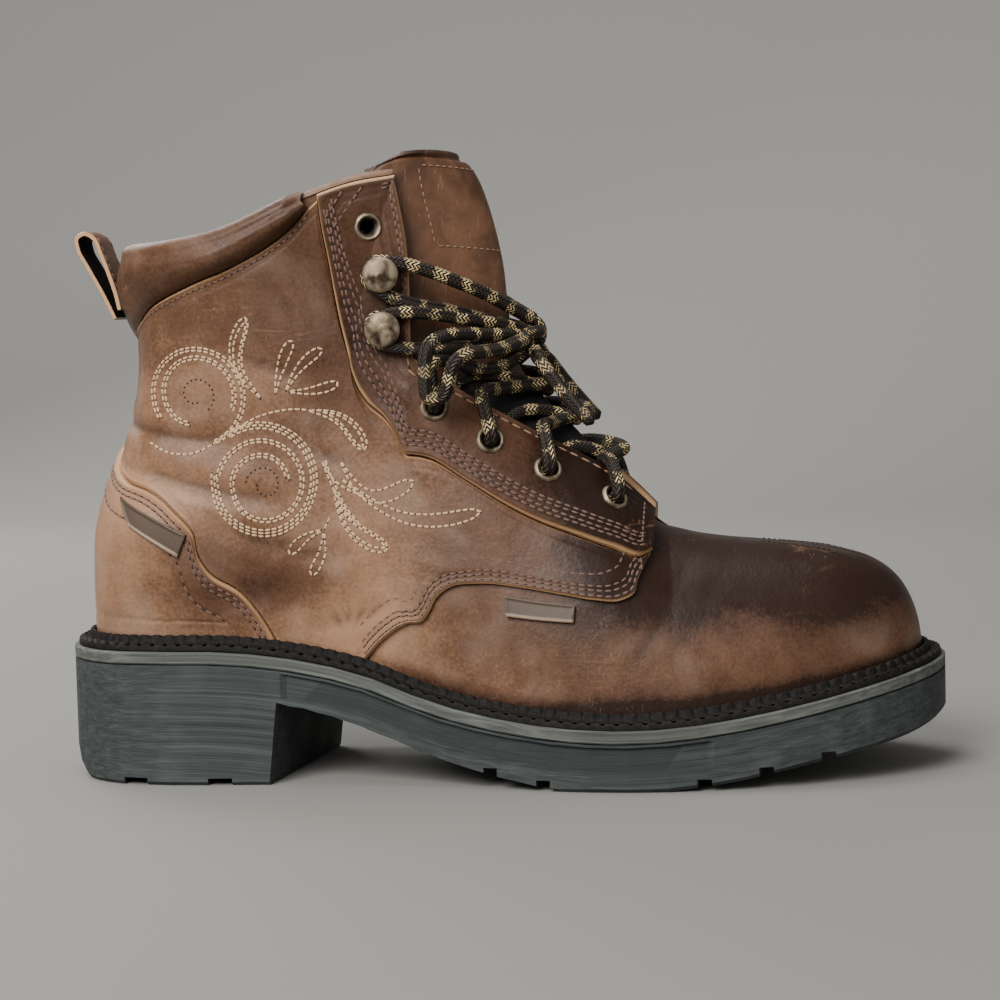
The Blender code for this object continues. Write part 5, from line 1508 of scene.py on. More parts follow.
def rolled_rim(side, around, out_lift, in_pad):
    """Rows of points that pass over the rim from out_lift to the lining, then down inside."""
    rim = np.column_stack([around, np.ones(len(around))])
    base, normal, _, _ = skin(side, rim, 0.0)
    upward = unit(base - form(side, around, 0.96))
    inside = -(WALL + in_pad)
    middle, radius = 0.5 * (out_lift + inside), 0.5 * (out_lift - inside)
    columns = []
    for angle in np.linspace(0, math.pi, ROLL_STEPS):
        off = normal * (middle + radius * math.cos(angle))[:, None]
        columns.append(base + off + upward * (0.72 * radius * math.sin(angle))[:, None])
    for drop in np.linspace(0.02, 0.20, 9):
        pad = in_pad * (1 - smooth_step(drop, 0.03, 0.18)) + 0.0002
        shares = np.column_stack([around, np.full(len(around), 1 - drop)])
        columns.append(skin(side, shares, -(WALL + pad))[0])
    return np.stack(columns, axis=1)


def rolled_piece(name, grid, leather_columns, node, tone, flip):
    """One skin of leather whose last columns are lining."""
    rows, columns = grid.shape[:2]
    faces = grid_faces(rows, columns, 0, flip)
    looks = (np.arange(len(faces)) % (columns - 1) >= leather_columns) * 1
    marks = np.stack([tone, 0 * tone, 0 * tone], axis=-1).reshape(-1, 3)
    stands_for = (node,) if node else ()
    made = body(name, seat(grid.reshape(-1, 3)), faces, ["leather", "lining"], stands_for, looks, marks,
                smooth=70.0)


def build_collar():
    """The padded cuff: it swells from its seam, rolls over the rim and ends on the lining."""
    strips, tones = [], []
    for side in SIDES:
        low = seam(side, COLLAR_SEAM, FINE)
        around = np.linspace(0, RIM_FRONT[0] - 0.012, FINE)
        grid = fine_ruled(side, low, np.column_stack([around, np.ones(FINE)]), SEAM_TRIM, 0.0)
        flat = form_at(side, grid)
        run = np.linalg.norm(flat - flat[:, :1], axis=-1)
        ahead = np.linalg.norm(flat - flat[-1:], axis=-1)
        lift = collar_fullness(run / run[:, -1:]) * rounded(run)
        lift = BEND_GAP + lift * (0.55 + 0.45 * smooth_step(ahead, 0.0, 0.007))
        lift += 0.00035 * np.sin(95 * grid[..., 0] + 2) * np.sin(math.pi * run / run[:, -1:])
        points, _, tone, _ = skin(side, grid, lift)
        roll = rolled_rim(side, around, lift[:, -1], LINING_PAD)
        strips.append(np.concatenate([points, roll[:, 1:]], axis=1))
        over = np.tile(tone[:, -1:] - 0.06, (1, roll.shape[1] - 1))
        tones.append(np.concatenate([tone - 0.12 + 0.06 * (run / run[:, -1:]) ** 3, over], axis=1))
    leather = points.shape[1] + int(0.92 * ROLL_STEPS)
    rolled_piece("collar_padded", joined(strips), leather, "collar", joined(tones), True)
    for side in SIDES:
        around = np.linspace(RIM_FRONT[0] - 0.016, 0.3285, 40)
        full = smooth_step(around, RIM_FRONT[0] - 0.020, RIM_FRONT[0]) * 0.0002 + 0.0004
        roll = rolled_rim(side, around, full, 0.0016)
        rolled_piece("collar_front_roll_" + SIDE_NAMES[side], roll, int(0.8 * ROLL_STEPS), None,
                     np.full(roll.shape[:2], 0.55), side == INNER)


STAY_COUNT = 257


def stay_edges(side):
    """The eyestay's back and front edges, matched point to point."""
    low = seam(side, EYESTAY_EDGE, STAY_COUNT)
    want = np.linspace(0, STAY_POINTS - 1, STAY_COUNT)
    high = np.column_stack([np.interp(want, range(STAY_POINTS), RIM_FRONT), np.ones(STAY_COUNT)])
    return low, high


def fitting_hole(side, row):
    """The centre, axis and radius of the hole behind an eyelet."""
    around, up = locate(side, row.along, row.rise)
    return form(side, around, up), form_normal(side, around, up), EYELET_BARREL - 0.0002


def build_eyestays():
    rows = (0.0030, 0.0043, 0.0060, 0.0073)
    for side in SIDES:
        low, high = stay_edges(side)
        grid = fine_ruled(side, low, high, SEAM_TRIM, SEAM_TRIM)
        name = SIDE_NAMES[side]
        holes = [fitting_hole(side, row) for row in EYELET_PLACES]
        laid_piece(f"eyestay_leather_{name}", f"eyestay_{name}", [(side, grid)], STAY_GAP,
                   EYESTAY_THICKNESS, "leather_dark", (True, True), rows, -0.12, holes)
        face = STAY_FACE - SUNK
        for distance in rows:
            sew("brown", side, inset_line(side, low, high, distance)[8:-6], face, 0.0022, 0.0007)
        front = inset_line(side, high, low, 0.0032)
        sew("tan", side, front[96:-14], face, 0.0030, 0.0012, 0.00034)
        sew("brown", side, front[28:92], face, 0.0020, 0.0008)
        sew("brown", side, inset_line(side, high, low, 0.0050)[28:86], face, 0.0020, 0.0008)
        for share in (0.05, 0.08):
            top = np.linspace(low[int(share * STAY_COUNT)], high[int(share * STAY_COUNT)], 30)[3:-3]
            sew("brown", side, top, face, 0.0020, 0.0007)
        toe_bar = np.linspace(low[-9], high[-9], 24)[3:-3]
        sew("brown", side, toe_bar, face, 0.0018, 0.0007)


# Scrollwork sewn on the outer quarter, in millimetres in the side view

Spiral = namedtuple("Spiral", "x z start_radius end_radius start_angle end_angle rows")
SPIRALS = [
    Spiral(50.0, 126.0, 17.0, 14.3, -72, 215, 2),
    Spiral(50.4, 126.5, 13.2, 10.6, -28, 258, 2),
    Spiral(71.0, 97.6, 19.6, 16.4, 128, -190, 3),
    Spiral(71.6, 96.8, 15.6, 8.6, 175, -352, 2),
]
FAINT_SPIRALS = [
    Spiral(50.4, 126.3, 6.4, 2.6, -60, 300, 1),
    Spiral(72.0, 96.6, 6.2, 2.4, 180, -200, 1),
]
Drop = namedtuple("Drop", "base_x base_z tip_x tip_z width bend rows")
DROPS = [
    Drop(71.8, 124.5, 67.8, 150.6, 6.4, 0.22, 2),
    Drop(76.4, 125.8, 82.2, 142.8, 4.6, 0.05, 1),
    Drop(79.8, 126.8, 91.6, 140.0, 4.4, 0.08, 1),
    Drop(80.2, 126.6, 96.4, 128.8, 4.2, -0.06, 1),
    Drop(86.5, 120.3, 104.6, 107.2, 7.2, 0.16, 2),
    Drop(96.8, 103.6, 120.4, 97.0, 6.6, -0.34, 1),
    Drop(97.0, 98.0, 142.0, 86.6, 6.2, -0.16, 1),
    Drop(94.6, 95.0, 111.4, 75.2, 7.6, -0.14, 2),
    Drop(91.2, 82.0, 79.4, 74.6, 4.4, -0.08, 1),
    Drop(91.4, 81.6, 86.8, 67.8, 4.2, 0.08, 1),
]
Tail = namedtuple("Tail", "rows points")
TAILS = [
    Tail(1, [(34.0, 110.6), (41.0, 107.0), (48.6, 106.8), (55.0, 109.8), (61.5, 114.2), (69.0, 116.8)]),
    Tail(1, [(60.5, 112.0), (67.5, 117.4), (76.0, 120.2), (84.0, 120.8), (88.5, 120.0)]),
    Tail(2, [(91.0, 104.0), (94.0, 96.0), (97.5, 88.5), (102.0, 82.5)]),
    Tail(1, [(93.6, 86.6), (92.2, 83.8), (91.2, 81.6)]),
    Tail(1, [(91.4, 103.6), (95.0, 97.4), (99.5, 94.2), (105.0, 91.8)]),
]
ROW_SPACING = 1.0


def spiral_lines(row):
    angle = np.radians(np.linspace(row.start_angle, row.end_angle, 60))
    radius = np.linspace(row.start_radius, row.end_radius, 60)
    for k in range(row.rows):
        now = radius - k * ROW_SPACING
        yield np.stack([row.x + now * np.cos(angle), row.z + now * np.sin(angle)], axis=1)


def drop_lines(row):
    """A teardrop with a bent spine, and a smaller one inside where it has two rows."""
    base = np.array([row.base_x, row.base_z])
    tip = np.array([row.tip_x, row.tip_z])
    span = tip - base
    side_way = np.array([-span[1], span[0]])
    s = np.linspace(0, 1, 24)
    spine = base + s[:, None] * span + (row.bend * np.sin(math.pi * s))[:, None] * side_way
    cross = crosswise(spine)
    profile = s**0.9 * np.sqrt(np.clip(1 - s**5, 0, 1))
    for k in range(row.rows):
        half = np.clip(0.5 * row.width * profile - k * ROW_SPACING, 0, None)[:, None]
        inner = spine if k == 0 else spine - span * 0.03 * k
        yield np.concatenate([inner + cross * half, (inner - cross * half)[::-1][1:]])


def tail_lines(row):
    points = np.array(row.points, float)
    run = lengths(points)
    smooth = hermite(run, points, np.linspace(0, run[-1], 30))
    cross = crosswise(smooth)
    for k in range(row.rows):
        yield smooth + cross * ROW_SPACING * k


def sew_side_line(thread, line, lift, **sizes):
    shares = locate_many(OUTER, line[:, 0] / 1000, line[:, 1] / 1000)
    sew(thread, OUTER, shares, lift, **sizes)


def build_scrollwork():
    face = BEND_GAP + QUARTER_THICKNESS
    for make, rows in ((spiral_lines, SPIRALS), (drop_lines, DROPS), (tail_lines, TAILS)):
        for row in rows:
            for line in make(row):
                sew_side_line("pale", line, face, length=0.0019, gap=0.00030, radius=0.00037)
    # The faint spirals are bare needle holes, near-black dots of painted shade.
    for row in FAINT_SPIRALS:
        for line in spiral_lines(row):
            sew_side_line("holes", line, face, length=0.0006, gap=0.0011, radius=0.0003, punch=False)


# Upper


def build_upper():
    """The hollow wall: vamp and shaft outside, lining inside, open at throat and collar."""
    shares = around_list((0, 0.33, 90), (0.33, 0.40, 40), (0.40, throat_around(), 110),
                         (throat_around(), 1.0, 130))
    ups = np.concatenate([np.linspace(0, 0.90, 46), np.linspace(0.90, 1.0, 10)[1:]])
    grid = np.stack(np.meshgrid(shares, ups, indexing="ij"), axis=-1)
    halves = []
    for side in SIDES:
        points, _, tone, crease_shading = skin(side, grid, 0.0)
        strips = [points, skin(side, grid, -WALL)[0], np.stack([tone, 0 * tone, crease_shading], axis=-1)]
        halves.append(strips if side == OUTER else [strip[1:-1][::-1] for strip in strips])
    outer, inner, marks = (np.concatenate(pair) for pair in zip(*halves))
    count, across = outer.shape[:2]
    holes = [fitting_hole(side, row) for side in SIDES for row in EYELET_PLACES]
    skin_faces = keep_clear(grid_faces(count, across, flip=True, ring=True), outer, holes)
    lining_faces = keep_clear(grid_faces(count, across, ring=True), inner, holes)
    base = count * across
    last = across - 1
    ring = np.arange(count)
    following = (ring + 1) % count
    all_shares = np.concatenate([shares, shares[1:-1][::-1]])
    open_rim = np.maximum(all_shares[ring], all_shares[following]) <= throat_around() + 1e-9
    a, b = ring[open_rim] * across + last, following[open_rim] * across + last
    rim = np.stack([a, b, b + base, a + base], axis=-1)
    a, b = ring * across, following * across
    foot = np.stack([a, a + base, b + base, b], axis=-1)
    faces = [skin_faces, lining_faces + base, rim, foot]
    looks = np.repeat([0, 1, 0, 0], [len(group) for group in faces])
    body("upper_wall", two_sheets(outer, inner), np.concatenate(faces), ["leather", "lining"],
         ("upper",), looks, np.tile(marks.reshape(-1, 3), (2, 1)), smooth=50.0)
    build_toe_lines()


def build_toe_lines():
    """Short rows of bare needle holes that fan out on top of the toe, drawn as near-black dots of painted
    shade.
    """
    for side in SIDES:
        for k, lean in enumerate((0.0, 0.05, 0.10)):
            around = np.linspace(0.79 + 0.022 * k, 0.875 + 0.012 * k, 20)
            up = np.linspace(0.93 - 0.5 * lean, 0.84 - 1.4 * lean, 20)
            sew("holes", side, np.column_stack([around, up]), 0.0, 0.0009, 0.0009, 0.0003, False)


# Sole, welt and insole


def flow_of(vertices):
    """Where a point lies along the sole and below the midsole's top, for the brush marks."""
    x = vertices[:, 0] - SHIFT[0]
    return np.stack([x + 0.4 * vertices[:, 1], vertices[:, 2] - sole_top(x), vertices[:, 1]], axis=1)


def recoat(node, name, look):
    """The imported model's own shape with a worked material and the brush marks' coordinates."""
    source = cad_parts[node]
    mesh = source.data.copy()
    mesh.name = name
    made = bpy.data.objects.new(name, mesh)
    made.matrix_world = source.matrix_world.copy()
    bpy.context.scene.collection.objects.link(made)
    mesh.materials.clear()
    mesh.materials.append(LOOKS[look])
    vertices = np.empty(len(mesh.vertices) * 3)
    mesh.vertices.foreach_get("co", vertices)
    vertices = vertices.reshape(-1, 3)
    layer = mesh.attributes.new("flow", "FLOAT_VECTOR", "POINT")
    layer.data.foreach_set("vector", flow_of(vertices).astype(np.float32).ravel())
    mesh.shade_smooth()
    mesh.set_sharp_from_angle(angle=math.radians(32))
    edge = made.modifiers.new("edge", "BEVEL")
    edge.width = 0.0005
    edge.segments = 2
    edge.limit_method = "ANGLE"
    edge.angle_limit = math.radians(32)
    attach(made, "root")
    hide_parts(node)


WELT_PITCH = 0.0045  # of the rib's notches and of the lock stitches
LOCK_STITCH = 0.0034
WELT_POINTS = 640  # on each side of the sole


def build_welt():
    """The storm welt: a ledge with lock stitches, and a raised rib notched all the way round."""
    shares = np.linspace(0, 1, WELT_POINTS)
    rib_in = LEDGE - BEND_GAP - 1.5 * GAP
    rib_out = rib_in - RIB_WIDTH
    base_ring = edge_ring(shares, 0.0, lambda x: 0 * x)
    run = lengths(np.vstack([base_ring, base_ring[:1]]))
    notches = round(run[-1] / WELT_PITCH)
    phase = 2 * math.pi * run[:-1] * notches / run[-1]
    block = smooth_step(np.cos(phase), -0.75, -0.15)
    low_block = smooth_step(np.cos(phase + math.pi), -0.80, -0.25)
    profile = [
        (WELT_SET_BACK, 0.0, 0, 0),
        (WELT_SET_BACK, 0.55 * WELT_HEIGHT, 0, 0),
        (WELT_SET_BACK + 0.0003, 0.9 * WELT_HEIGHT, 0, 0.6),
        (WELT_SET_BACK + 0.0009, WELT_HEIGHT, 0, 1),
        (rib_out - 0.0009, WELT_HEIGHT, 0, 1),
        (rib_out - 0.0003, WELT_HEIGHT - 0.0004, 0, 0),
        (rib_out, WELT_HEIGHT, 0.5, 0),
        (rib_out + 0.0002, 0.75 * RIB_HEIGHT, 1, 0),
        (rib_out + 0.0006, RIB_HEIGHT, 1, 0),
        (rib_in - 0.0003, RIB_HEIGHT, 0.6, 0),
        (rib_in, RIB_HEIGHT - 0.0003, 0, 0),
        (rib_in, 0.0, 0, 0),
    ]
    rings = []
    for inset, rise, notch, low in profile:
        ring = edge_ring(shares, inset, lambda x: sole_top(x) + GAP)
        ring[:, 2] += rise - 0.0013 * notch * (1 - block) - 0.0009 * low * (1 - low_block)
        rings.append(ring)
    grid = np.stack(rings, axis=1)
    count, rows = grid.shape[:2]
    faces = grid_faces(count, rows, ring=True)
    first = np.arange(count) * rows
    following = np.roll(first, -1)
    underside = np.stack([first + rows - 1, following + rows - 1, following, first], axis=-1)
    made = body("welt_notched", seat(grid.reshape(-1, 3)), np.concatenate([faces, underside]), ["welt"],
                ("welt",), smooth=50.0)
    face_outwards(made)
    thread = Sewing("welt_lock_stitches", "welt")
    middle = 0.5 * (WELT_SET_BACK + rib_out)
    line = edge_ring(shares, middle, lambda x: sole_top(x) + GAP + WELT_HEIGHT - 0.0001)
    line = np.vstack([line, line[:1]])
    up = np.tile([0.0, 0.0, 1.0], (len(line), 1))
    thread.line(line, up, LOCK_STITCH, WELT_PITCH - LOCK_STITCH, 0.0008, 0.1)
    thread.finish()


def build_insole():
    recoat("insole", "insole_board", "lining")


# Tongue

TONGUE_SPLIT = 1.40  # height, as a rise, where the leather gives way to cloth


def sew_tongue(thread, start, end, count, lift, length, gap, radius):
    """A straight row of stitches between two places (around, across) of the tongue."""
    around, across = np.linspace(start, end, count).T
    points = on_tongue(around, across, lift)
    SEWN[thread].line(points, tongue_normal(around, across), length, gap, radius)


def build_tongue():
    first, last = TONGUE_ROWS[0].around, TONGUE_ROWS[-1].around
    shares = np.concatenate([np.linspace(first, 0.42, 56), np.linspace(0.42, last, 44)[1:]])
    around, across = np.meshgrid(shares, np.linspace(-1, 1, 45), indexing="ij")
    puff = hermite(read(TONGUE_ROWS, "around"), read(TONGUE_ROWS, "puff"), around)
    round_over = np.cos(0.5 * math.pi * np.clip(across, -0.999, 0.999)) ** 0.5
    thickness = TONGUE_THICKNESS * (0.45 + (puff - 0.45) * round_over)
    top = tongue_point(around, across)
    from_top = lengths(top[:, across.shape[1] // 2])[:, None] * np.ones(across.shape)
    half_width = 0.5 * np.linalg.norm(top[:, -1] - top[:, 0], axis=-1)[:, None]
    from_edge = (1 - np.abs(across)) * half_width
    rim = np.minimum(from_edge, from_top)
    pull_in = 0.0011 * bell(rim, 0.0038, 0.0012) + 0.0009 * bell(rim, 0, 0.0009)
    swell = 0.0007 * np.sin(math.pi * np.clip(from_top / 0.05, 0, 1)) * round_over
    normal = tongue_normal(around, across)
    outer = top + normal * (swell - pull_in)[..., None]
    inner = top - normal * thickness[..., None]
    rise = (outer[..., 2] - VAMP_HEIGHT) / SHAFT_RISE + 1
    cloth = 1 - smooth_step(rise, TONGUE_SPLIT - 0.008, TONGUE_SPLIT + 0.008)
    tone = 0.55 + 0.25 * bell(rise, 1.8, 0.2) - 0.5 * bell(rim, 0, 0.003)
    marks = np.stack([tone, 0 * tone, cloth], axis=-1).reshape(-1, 3)
    faces = np.concatenate(slab_faces(*outer.shape[:2]))
    made = body("tongue_padded", two_sheets(outer, inner), faces, ["tongue"], ("tongue",),
                marks=np.tile(marks, (2, 1)), smooth=60.0)
    face_outwards(made)
    box = [(0.318, -0.44), (0.318, 0.44), (0.358, 0.44), (0.358, -0.44), (0.318, -0.44)]
    for start, end in zip(box, box[1:]):
        sew_tongue("tan", start, end, 16, 0.0007, 0.0016, 0.0009, 0.00022)
    for side in SIDES:
        sew_tongue("brown", (0.300, side * 0.86), (0.42, side * 0.86), 60, -0.0004, 0.0018, 0.0008, 0.0003)


# Pull loop and tags


def build_pull_loop():
    points = np.array([(row.along * SOLE_LENGTH, float(height(row.rise))) for row in LOOP_PATH])
    points[:, 0] -= LOOP_GAP
    run = lengths(points)
    line = hermite(run, points, np.linspace(0, run[-1], 90))
    out = crosswise(line)
    shares = np.linspace(-1, 1, 21)
    sheets = []
    for sign in (1, -1):
        columns = []
        for share in shares:
            edge = 1 - 0.35 * smooth_step(abs(share), 0.93, 1.0)
            furrow = 0.00025 * bell(abs(share), 0.80, 0.06)
            flat = line + out * (sign * (0.5 * LOOP_THICKNESS * edge - furrow))
            y = np.full(len(line), share * 0.5 * LOOP_WIDTH)
            columns.append(np.column_stack([flat[:, 0], y, flat[:, 1]]))
        sheets.append(np.stack(columns, axis=1))
    count, across = sheets[0].shape[:2]
    faces = slab_faces(count, across)
    looks = np.repeat([0, 1, 0], [len(group) for group in faces])
    raw = 0.8 * bell(np.abs(shares), 1, 0.03)
    marks = np.tile(np.stack([np.full(across, 0.45), raw, 0 * raw], axis=-1), (2 * count, 1))
    made = body("pull_loop_strap", two_sheets(*sheets), np.concatenate(faces), ["leather", "lining"],
                ("pull_loop",), looks, marks, smooth=60.0)
    face_outwards(made)
    normals = np.column_stack([out[:, 0], 0 * out[:, 0], out[:, 1]])
    for side in SIDES:
        path = np.column_stack([line[:, 0], np.full(len(line), side * 0.40 * LOOP_WIDTH), line[:, 1]])
        SEWN["tan"].line(path + normals * 0.5 * LOOP_THICKNESS, normals, 0.0022, 0.0010, 0.0003)


LIP_COLUMNS = 4  # of a tag's grid are its paler lower lip


def build_tags():
    """Two small blank tabs with a raised border and a paler lower lip."""
    for tag in TAGS:
        low = seam(OUTER, (tag.low_from, tag.low_to), 40)
        high = seam(OUTER, (tag.high_from, tag.high_to), 40)
        grid = ruled(OUTER, low, high, 24, 0.0, 0.0)
        gap = border_distance(form_at(OUTER, grid), (True, True))
        lift = tag.lift + TAG_THICKNESS * (0.72 + 0.28 * bell(gap, 0.0004, 0.0004))
        outer, inner = skin(OUTER, grid, lift)[0], skin(OUTER, grid, tag.lift)[0]
        rows, columns = gap.shape
        faces = slab_faces(rows, columns)
        front = (np.arange(len(faces[0])) % (columns - 1) < LIP_COLUMNS) * 1
        looks = np.concatenate([front, np.zeros(len(faces[1]) + len(faces[2]), int)])
        made = body(tag.name + "_blank", two_sheets(outer, inner), np.concatenate(faces),
                    ["tag", "tag_lip"], (tag.name,), looks)
        face_outwards(made)


# Metal fittings

FITTING_SIDES = 40


def turned(name, turn, profile, looks, node, bore_shade_from=None):
    """A round piece: a profile of (radius, height) turned about the frame's Z axis."""
    angle = np.linspace(0, 2 * math.pi, FITTING_SIDES, endpoint=False)
    ones = np.ones(FITTING_SIDES)
    rings = [np.column_stack([r * np.cos(angle), r * np.sin(angle), h * ones, ones]) for r, h in profile]
    grid = np.stack(rings, axis=1) @ np.array(turn).T
    vertices = seat(grid.reshape(-1, 4)[:, :3])
    rows = len(profile)
    faces = grid_faces(FITTING_SIDES, rows, ring=True)
    face_looks = None
    # The profile's last rows take the near-black hole look: painted shade inside the eyelet's bore and under
    # it.
    if bore_shade_from is not None:
        face_looks = (np.arange(len(faces)) % (rows - 1) >= bore_shade_from) * 1
    body(name, vertices, faces, looks, (node,), face_looks, smooth=45.0)


def build_fittings():
    deep = -(EYESTAY_THICKNESS + STAY_GAP + WALL)
    low = -0.0002
    eyelet = [
        (EYELET_RADIUS, low), (EYELET_RADIUS, low + 0.0004), (EYELET_RADIUS - 0.0003, low + 0.0009),
        (EYELET_RADIUS - 0.0008, low + 0.00125), (EYELET_RADIUS - 0.0013, low + 0.0011),
        (EYELET_BORE + 0.0005, low + 0.0008), (EYELET_BORE + 0.0001, low + 0.0002),
        (EYELET_BORE, low - 0.0006), (EYELET_BORE, deep), (EYELET_BARREL, deep),
        (EYELET_BARREL + 0.0008, deep - 0.0003),
    ]
    top = SEAT_GAP + HOOK_STANDOFF
    hook = [
        (0.0001, 0.0), (0.86 * HOOK_RADIUS, 0.0), (0.86 * HOOK_RADIUS, SEAT_GAP + 0.0006),
        (0.78 * HOOK_RADIUS, SEAT_GAP + 0.0010), (HOOK_NECK + 0.0006, SEAT_GAP + 0.0013),
        (HOOK_NECK, SEAT_GAP + 0.0022), (HOOK_NECK, top - 0.0008), (HOOK_NECK + 0.0008, top),
        (HOOK_RADIUS - 0.0006, top + 0.0003), (HOOK_RADIUS, top + 0.0007),
        (HOOK_RADIUS - 0.0002, top + 0.0012), (0.80 * HOOK_RADIUS, top + 0.0018),
        (0.55 * HOOK_RADIUS, top + 0.0023), (0.28 * HOOK_RADIUS, top + 0.0026), (0.0001, top + 0.0027),
    ]
    for side in SIDES:
        name = SIDE_NAMES[side]
        for number, row in enumerate(EYELET_PLACES, 1):
            turn = fitting_frame(side, row, STAY_FACE)
            turned(f"eyelet_ring_{name}_{number}", turn, eyelet, ["metal", "hole"],
                   # The bore and underside of each eyelet are painted near-black as shade.
                   f"eyelet_{name}_{number}", bore_shade_from=7)
        for number, row in enumerate(HOOK_PLACES, 1):
            turn = fitting_frame(side, row, STAY_FACE)
            turned(f"hook_domed_{name}_{number}", turn, hook, ["metal"], f"hook_{name}_{number}")


# Lace

LACE_ROUND = 18


def strand(name, points, stands_for=()):
    """A round braid through a line of points in the boot's frame; the ends are rounded off."""
    line = resample(points, 0.0011)
    along = unit(np.gradient(line, axis=0))
    across = np.cross(along[0], (0.0, 0.0, 1.0))
    if np.linalg.norm(across) < 1e-6:
        across = np.array([0.0, 1.0, 0.0])
    run = lengths(line)
    from_end = np.minimum(run, run[-1] - run)
    taper = np.sqrt(np.clip(1 - (1 - np.clip(from_end / (0.8 * LACE_RADIUS), 0, 1)) ** 2, 0.02, 1))
    angles = np.linspace(0, 2 * math.pi, LACE_ROUND + 1)
    rings = []
    for point, direction, width in zip(line, along, taper):
        across = across - direction * np.dot(across, direction)
        across /= np.linalg.norm(across)
        third = np.cross(direction, across)
        circle = np.outer(np.cos(angles), across) + np.outer(np.sin(angles), third)
        rings.append(point + LACE_RADIUS * width * circle)
    grid = np.stack(rings)
    count = len(line)
    faces = grid_faces(count, LACE_ROUND + 1)
    made = body(name, seat(grid.reshape(-1, 3)), faces, ["lace"], stands_for, smooth=80.0)
    layer = made.data.uv_layers.new(name="along")
    turns = np.tile(np.linspace(0, 1, LACE_ROUND + 1), count)
    widths = np.repeat(run / LACE_DIAMETER, LACE_ROUND + 1)
    corner = np.empty(len(made.data.loops), np.int32)
    made.data.loops.foreach_get("vertex_index", corner)
    layer.data.foreach_set("uv", np.stack([turns[corner], widths[corner]], axis=1).ravel())
    return made, line


def route_points(rows, side):
    points = []
    for row in rows:
        lift = row.lift * LACE_DIAMETER
        if row.where == "tongue":
            points.append(on_tongue(row.around, side * row.up, lift))
        else:
            points.append(on_form(side, row.around, row.up, lift))
    return np.array(points)


def knot_centre():
    return route_points(KNOT, INNER).mean(axis=0)


def build_free_lace():
    """The two loops and two ends of the bow, and the knot between them."""
    centre = knot_centre()
    turns = np.linspace(0, 2 * math.pi * 1.6, 40)
    wrap = []
    for t in turns:
        lean = 0.0016 * (t / turns[-1] - 0.5)
        wrap.append(centre + (0.0030 * math.cos(t) + 0.4 * lean, lean, 0.0040 * math.sin(t)))
    strand("knot_wrap", wrap)
    strand("knot_bar", resample(route_points(KNOT, INNER), 0.001), ("lace_knot",))
    for side in SIDES:
        name = SIDE_NAMES[side]
        loop, line = strand(f"bow_loop_{name}", route_points(LOOP, side), (f"lace_loop_{name}",))
        end, line = strand(f"bow_end_{name}", route_points(END, side), (f"lace_end_{name}",))


def through_eyelet(side, row):
    """Points of a strand that comes up out of an eyelet."""
    around, up = locate(side, row.along, row.rise)
    lifts = (-0.001, 0.5 * STAY_FACE, STAY_FACE + LACE_RADIUS)
    return [on_form(side, around, up, lift) for lift in lifts]


CROSS_LIFT = 8 * GAP  # of a crossing over the tongue


def crossing_half(side, start, end):
    """A strand from an eyelet, over the facing's edge and the tongue, under the other facing."""
    middle = tongue_share(start, end)
    around, up = locate(side, start.along, start.rise)
    points = through_eyelet(side, start)
    stand = STAY_FACE + 1.15 * LACE_RADIUS
    over = LACE_RADIUS + CROSS_LIFT
    lean = 0.22 * (middle - around)
    points.append(on_form(side, around + lean, up + 0.45 * (1 - up), stand + 0.6 * LACE_RADIUS))
    points.append(on_form(side, around + 1.6 * lean, 1.0, stand - 0.2 * LACE_RADIUS))
    points.append(on_tongue(around + 0.75 * (middle - around), side * 0.34, over))
    points.append(on_tongue(middle, 0.0, over - side * LACE_RADIUS))
    far, _ = locate(-side, end.along, end.rise)
    points.append(on_tongue(middle + 0.55 * (far - middle), -side * 0.42, LACE_RADIUS))
    points.append(on_tongue(middle + 0.80 * (far - middle), -side * 0.80, 0.0))
    return points


def build_crossings():
    """The three lowest crossings, each from an eyelet to the next one up on the other side."""
    for number, (start, end) in enumerate(zip(EYELET_PLACES[:3], EYELET_PLACES[1:4]), 1):
        for side in SIDES:
            stands_for = (f"lace_cross_{number}",) if side == OUTER else ()
            strand(f"lace_strand_{number}_{SIDE_NAMES[side]}", crossing_half(side, start, end), stands_for)


def hook_turn(side, row):
    """The part of a strand that passes round behind a hook's disc and goes back."""
    turn = fitting_frame(side, row, STAY_FACE)
    lift = SEAT_GAP + 0.5 * HOOK_STANDOFF + 0.0008
    reach = HOOK_NECK + 1.05 * LACE_RADIUS
    toward = knot_centre() - np.array(turn.translation)
    toward = np.array(turn.to_3x3().inverted() @ Vector(toward))[:2]
    toward /= np.linalg.norm(toward)
    aside = np.array([-toward[1], toward[0]])
    points = []
    for angle in np.radians([-90, -130, 180, 130, 90]):
        flat = reach * (math.cos(angle) * toward + math.sin(angle) * aside)
        points.append(np.array(turn @ Vector((*flat, lift))))
    return points


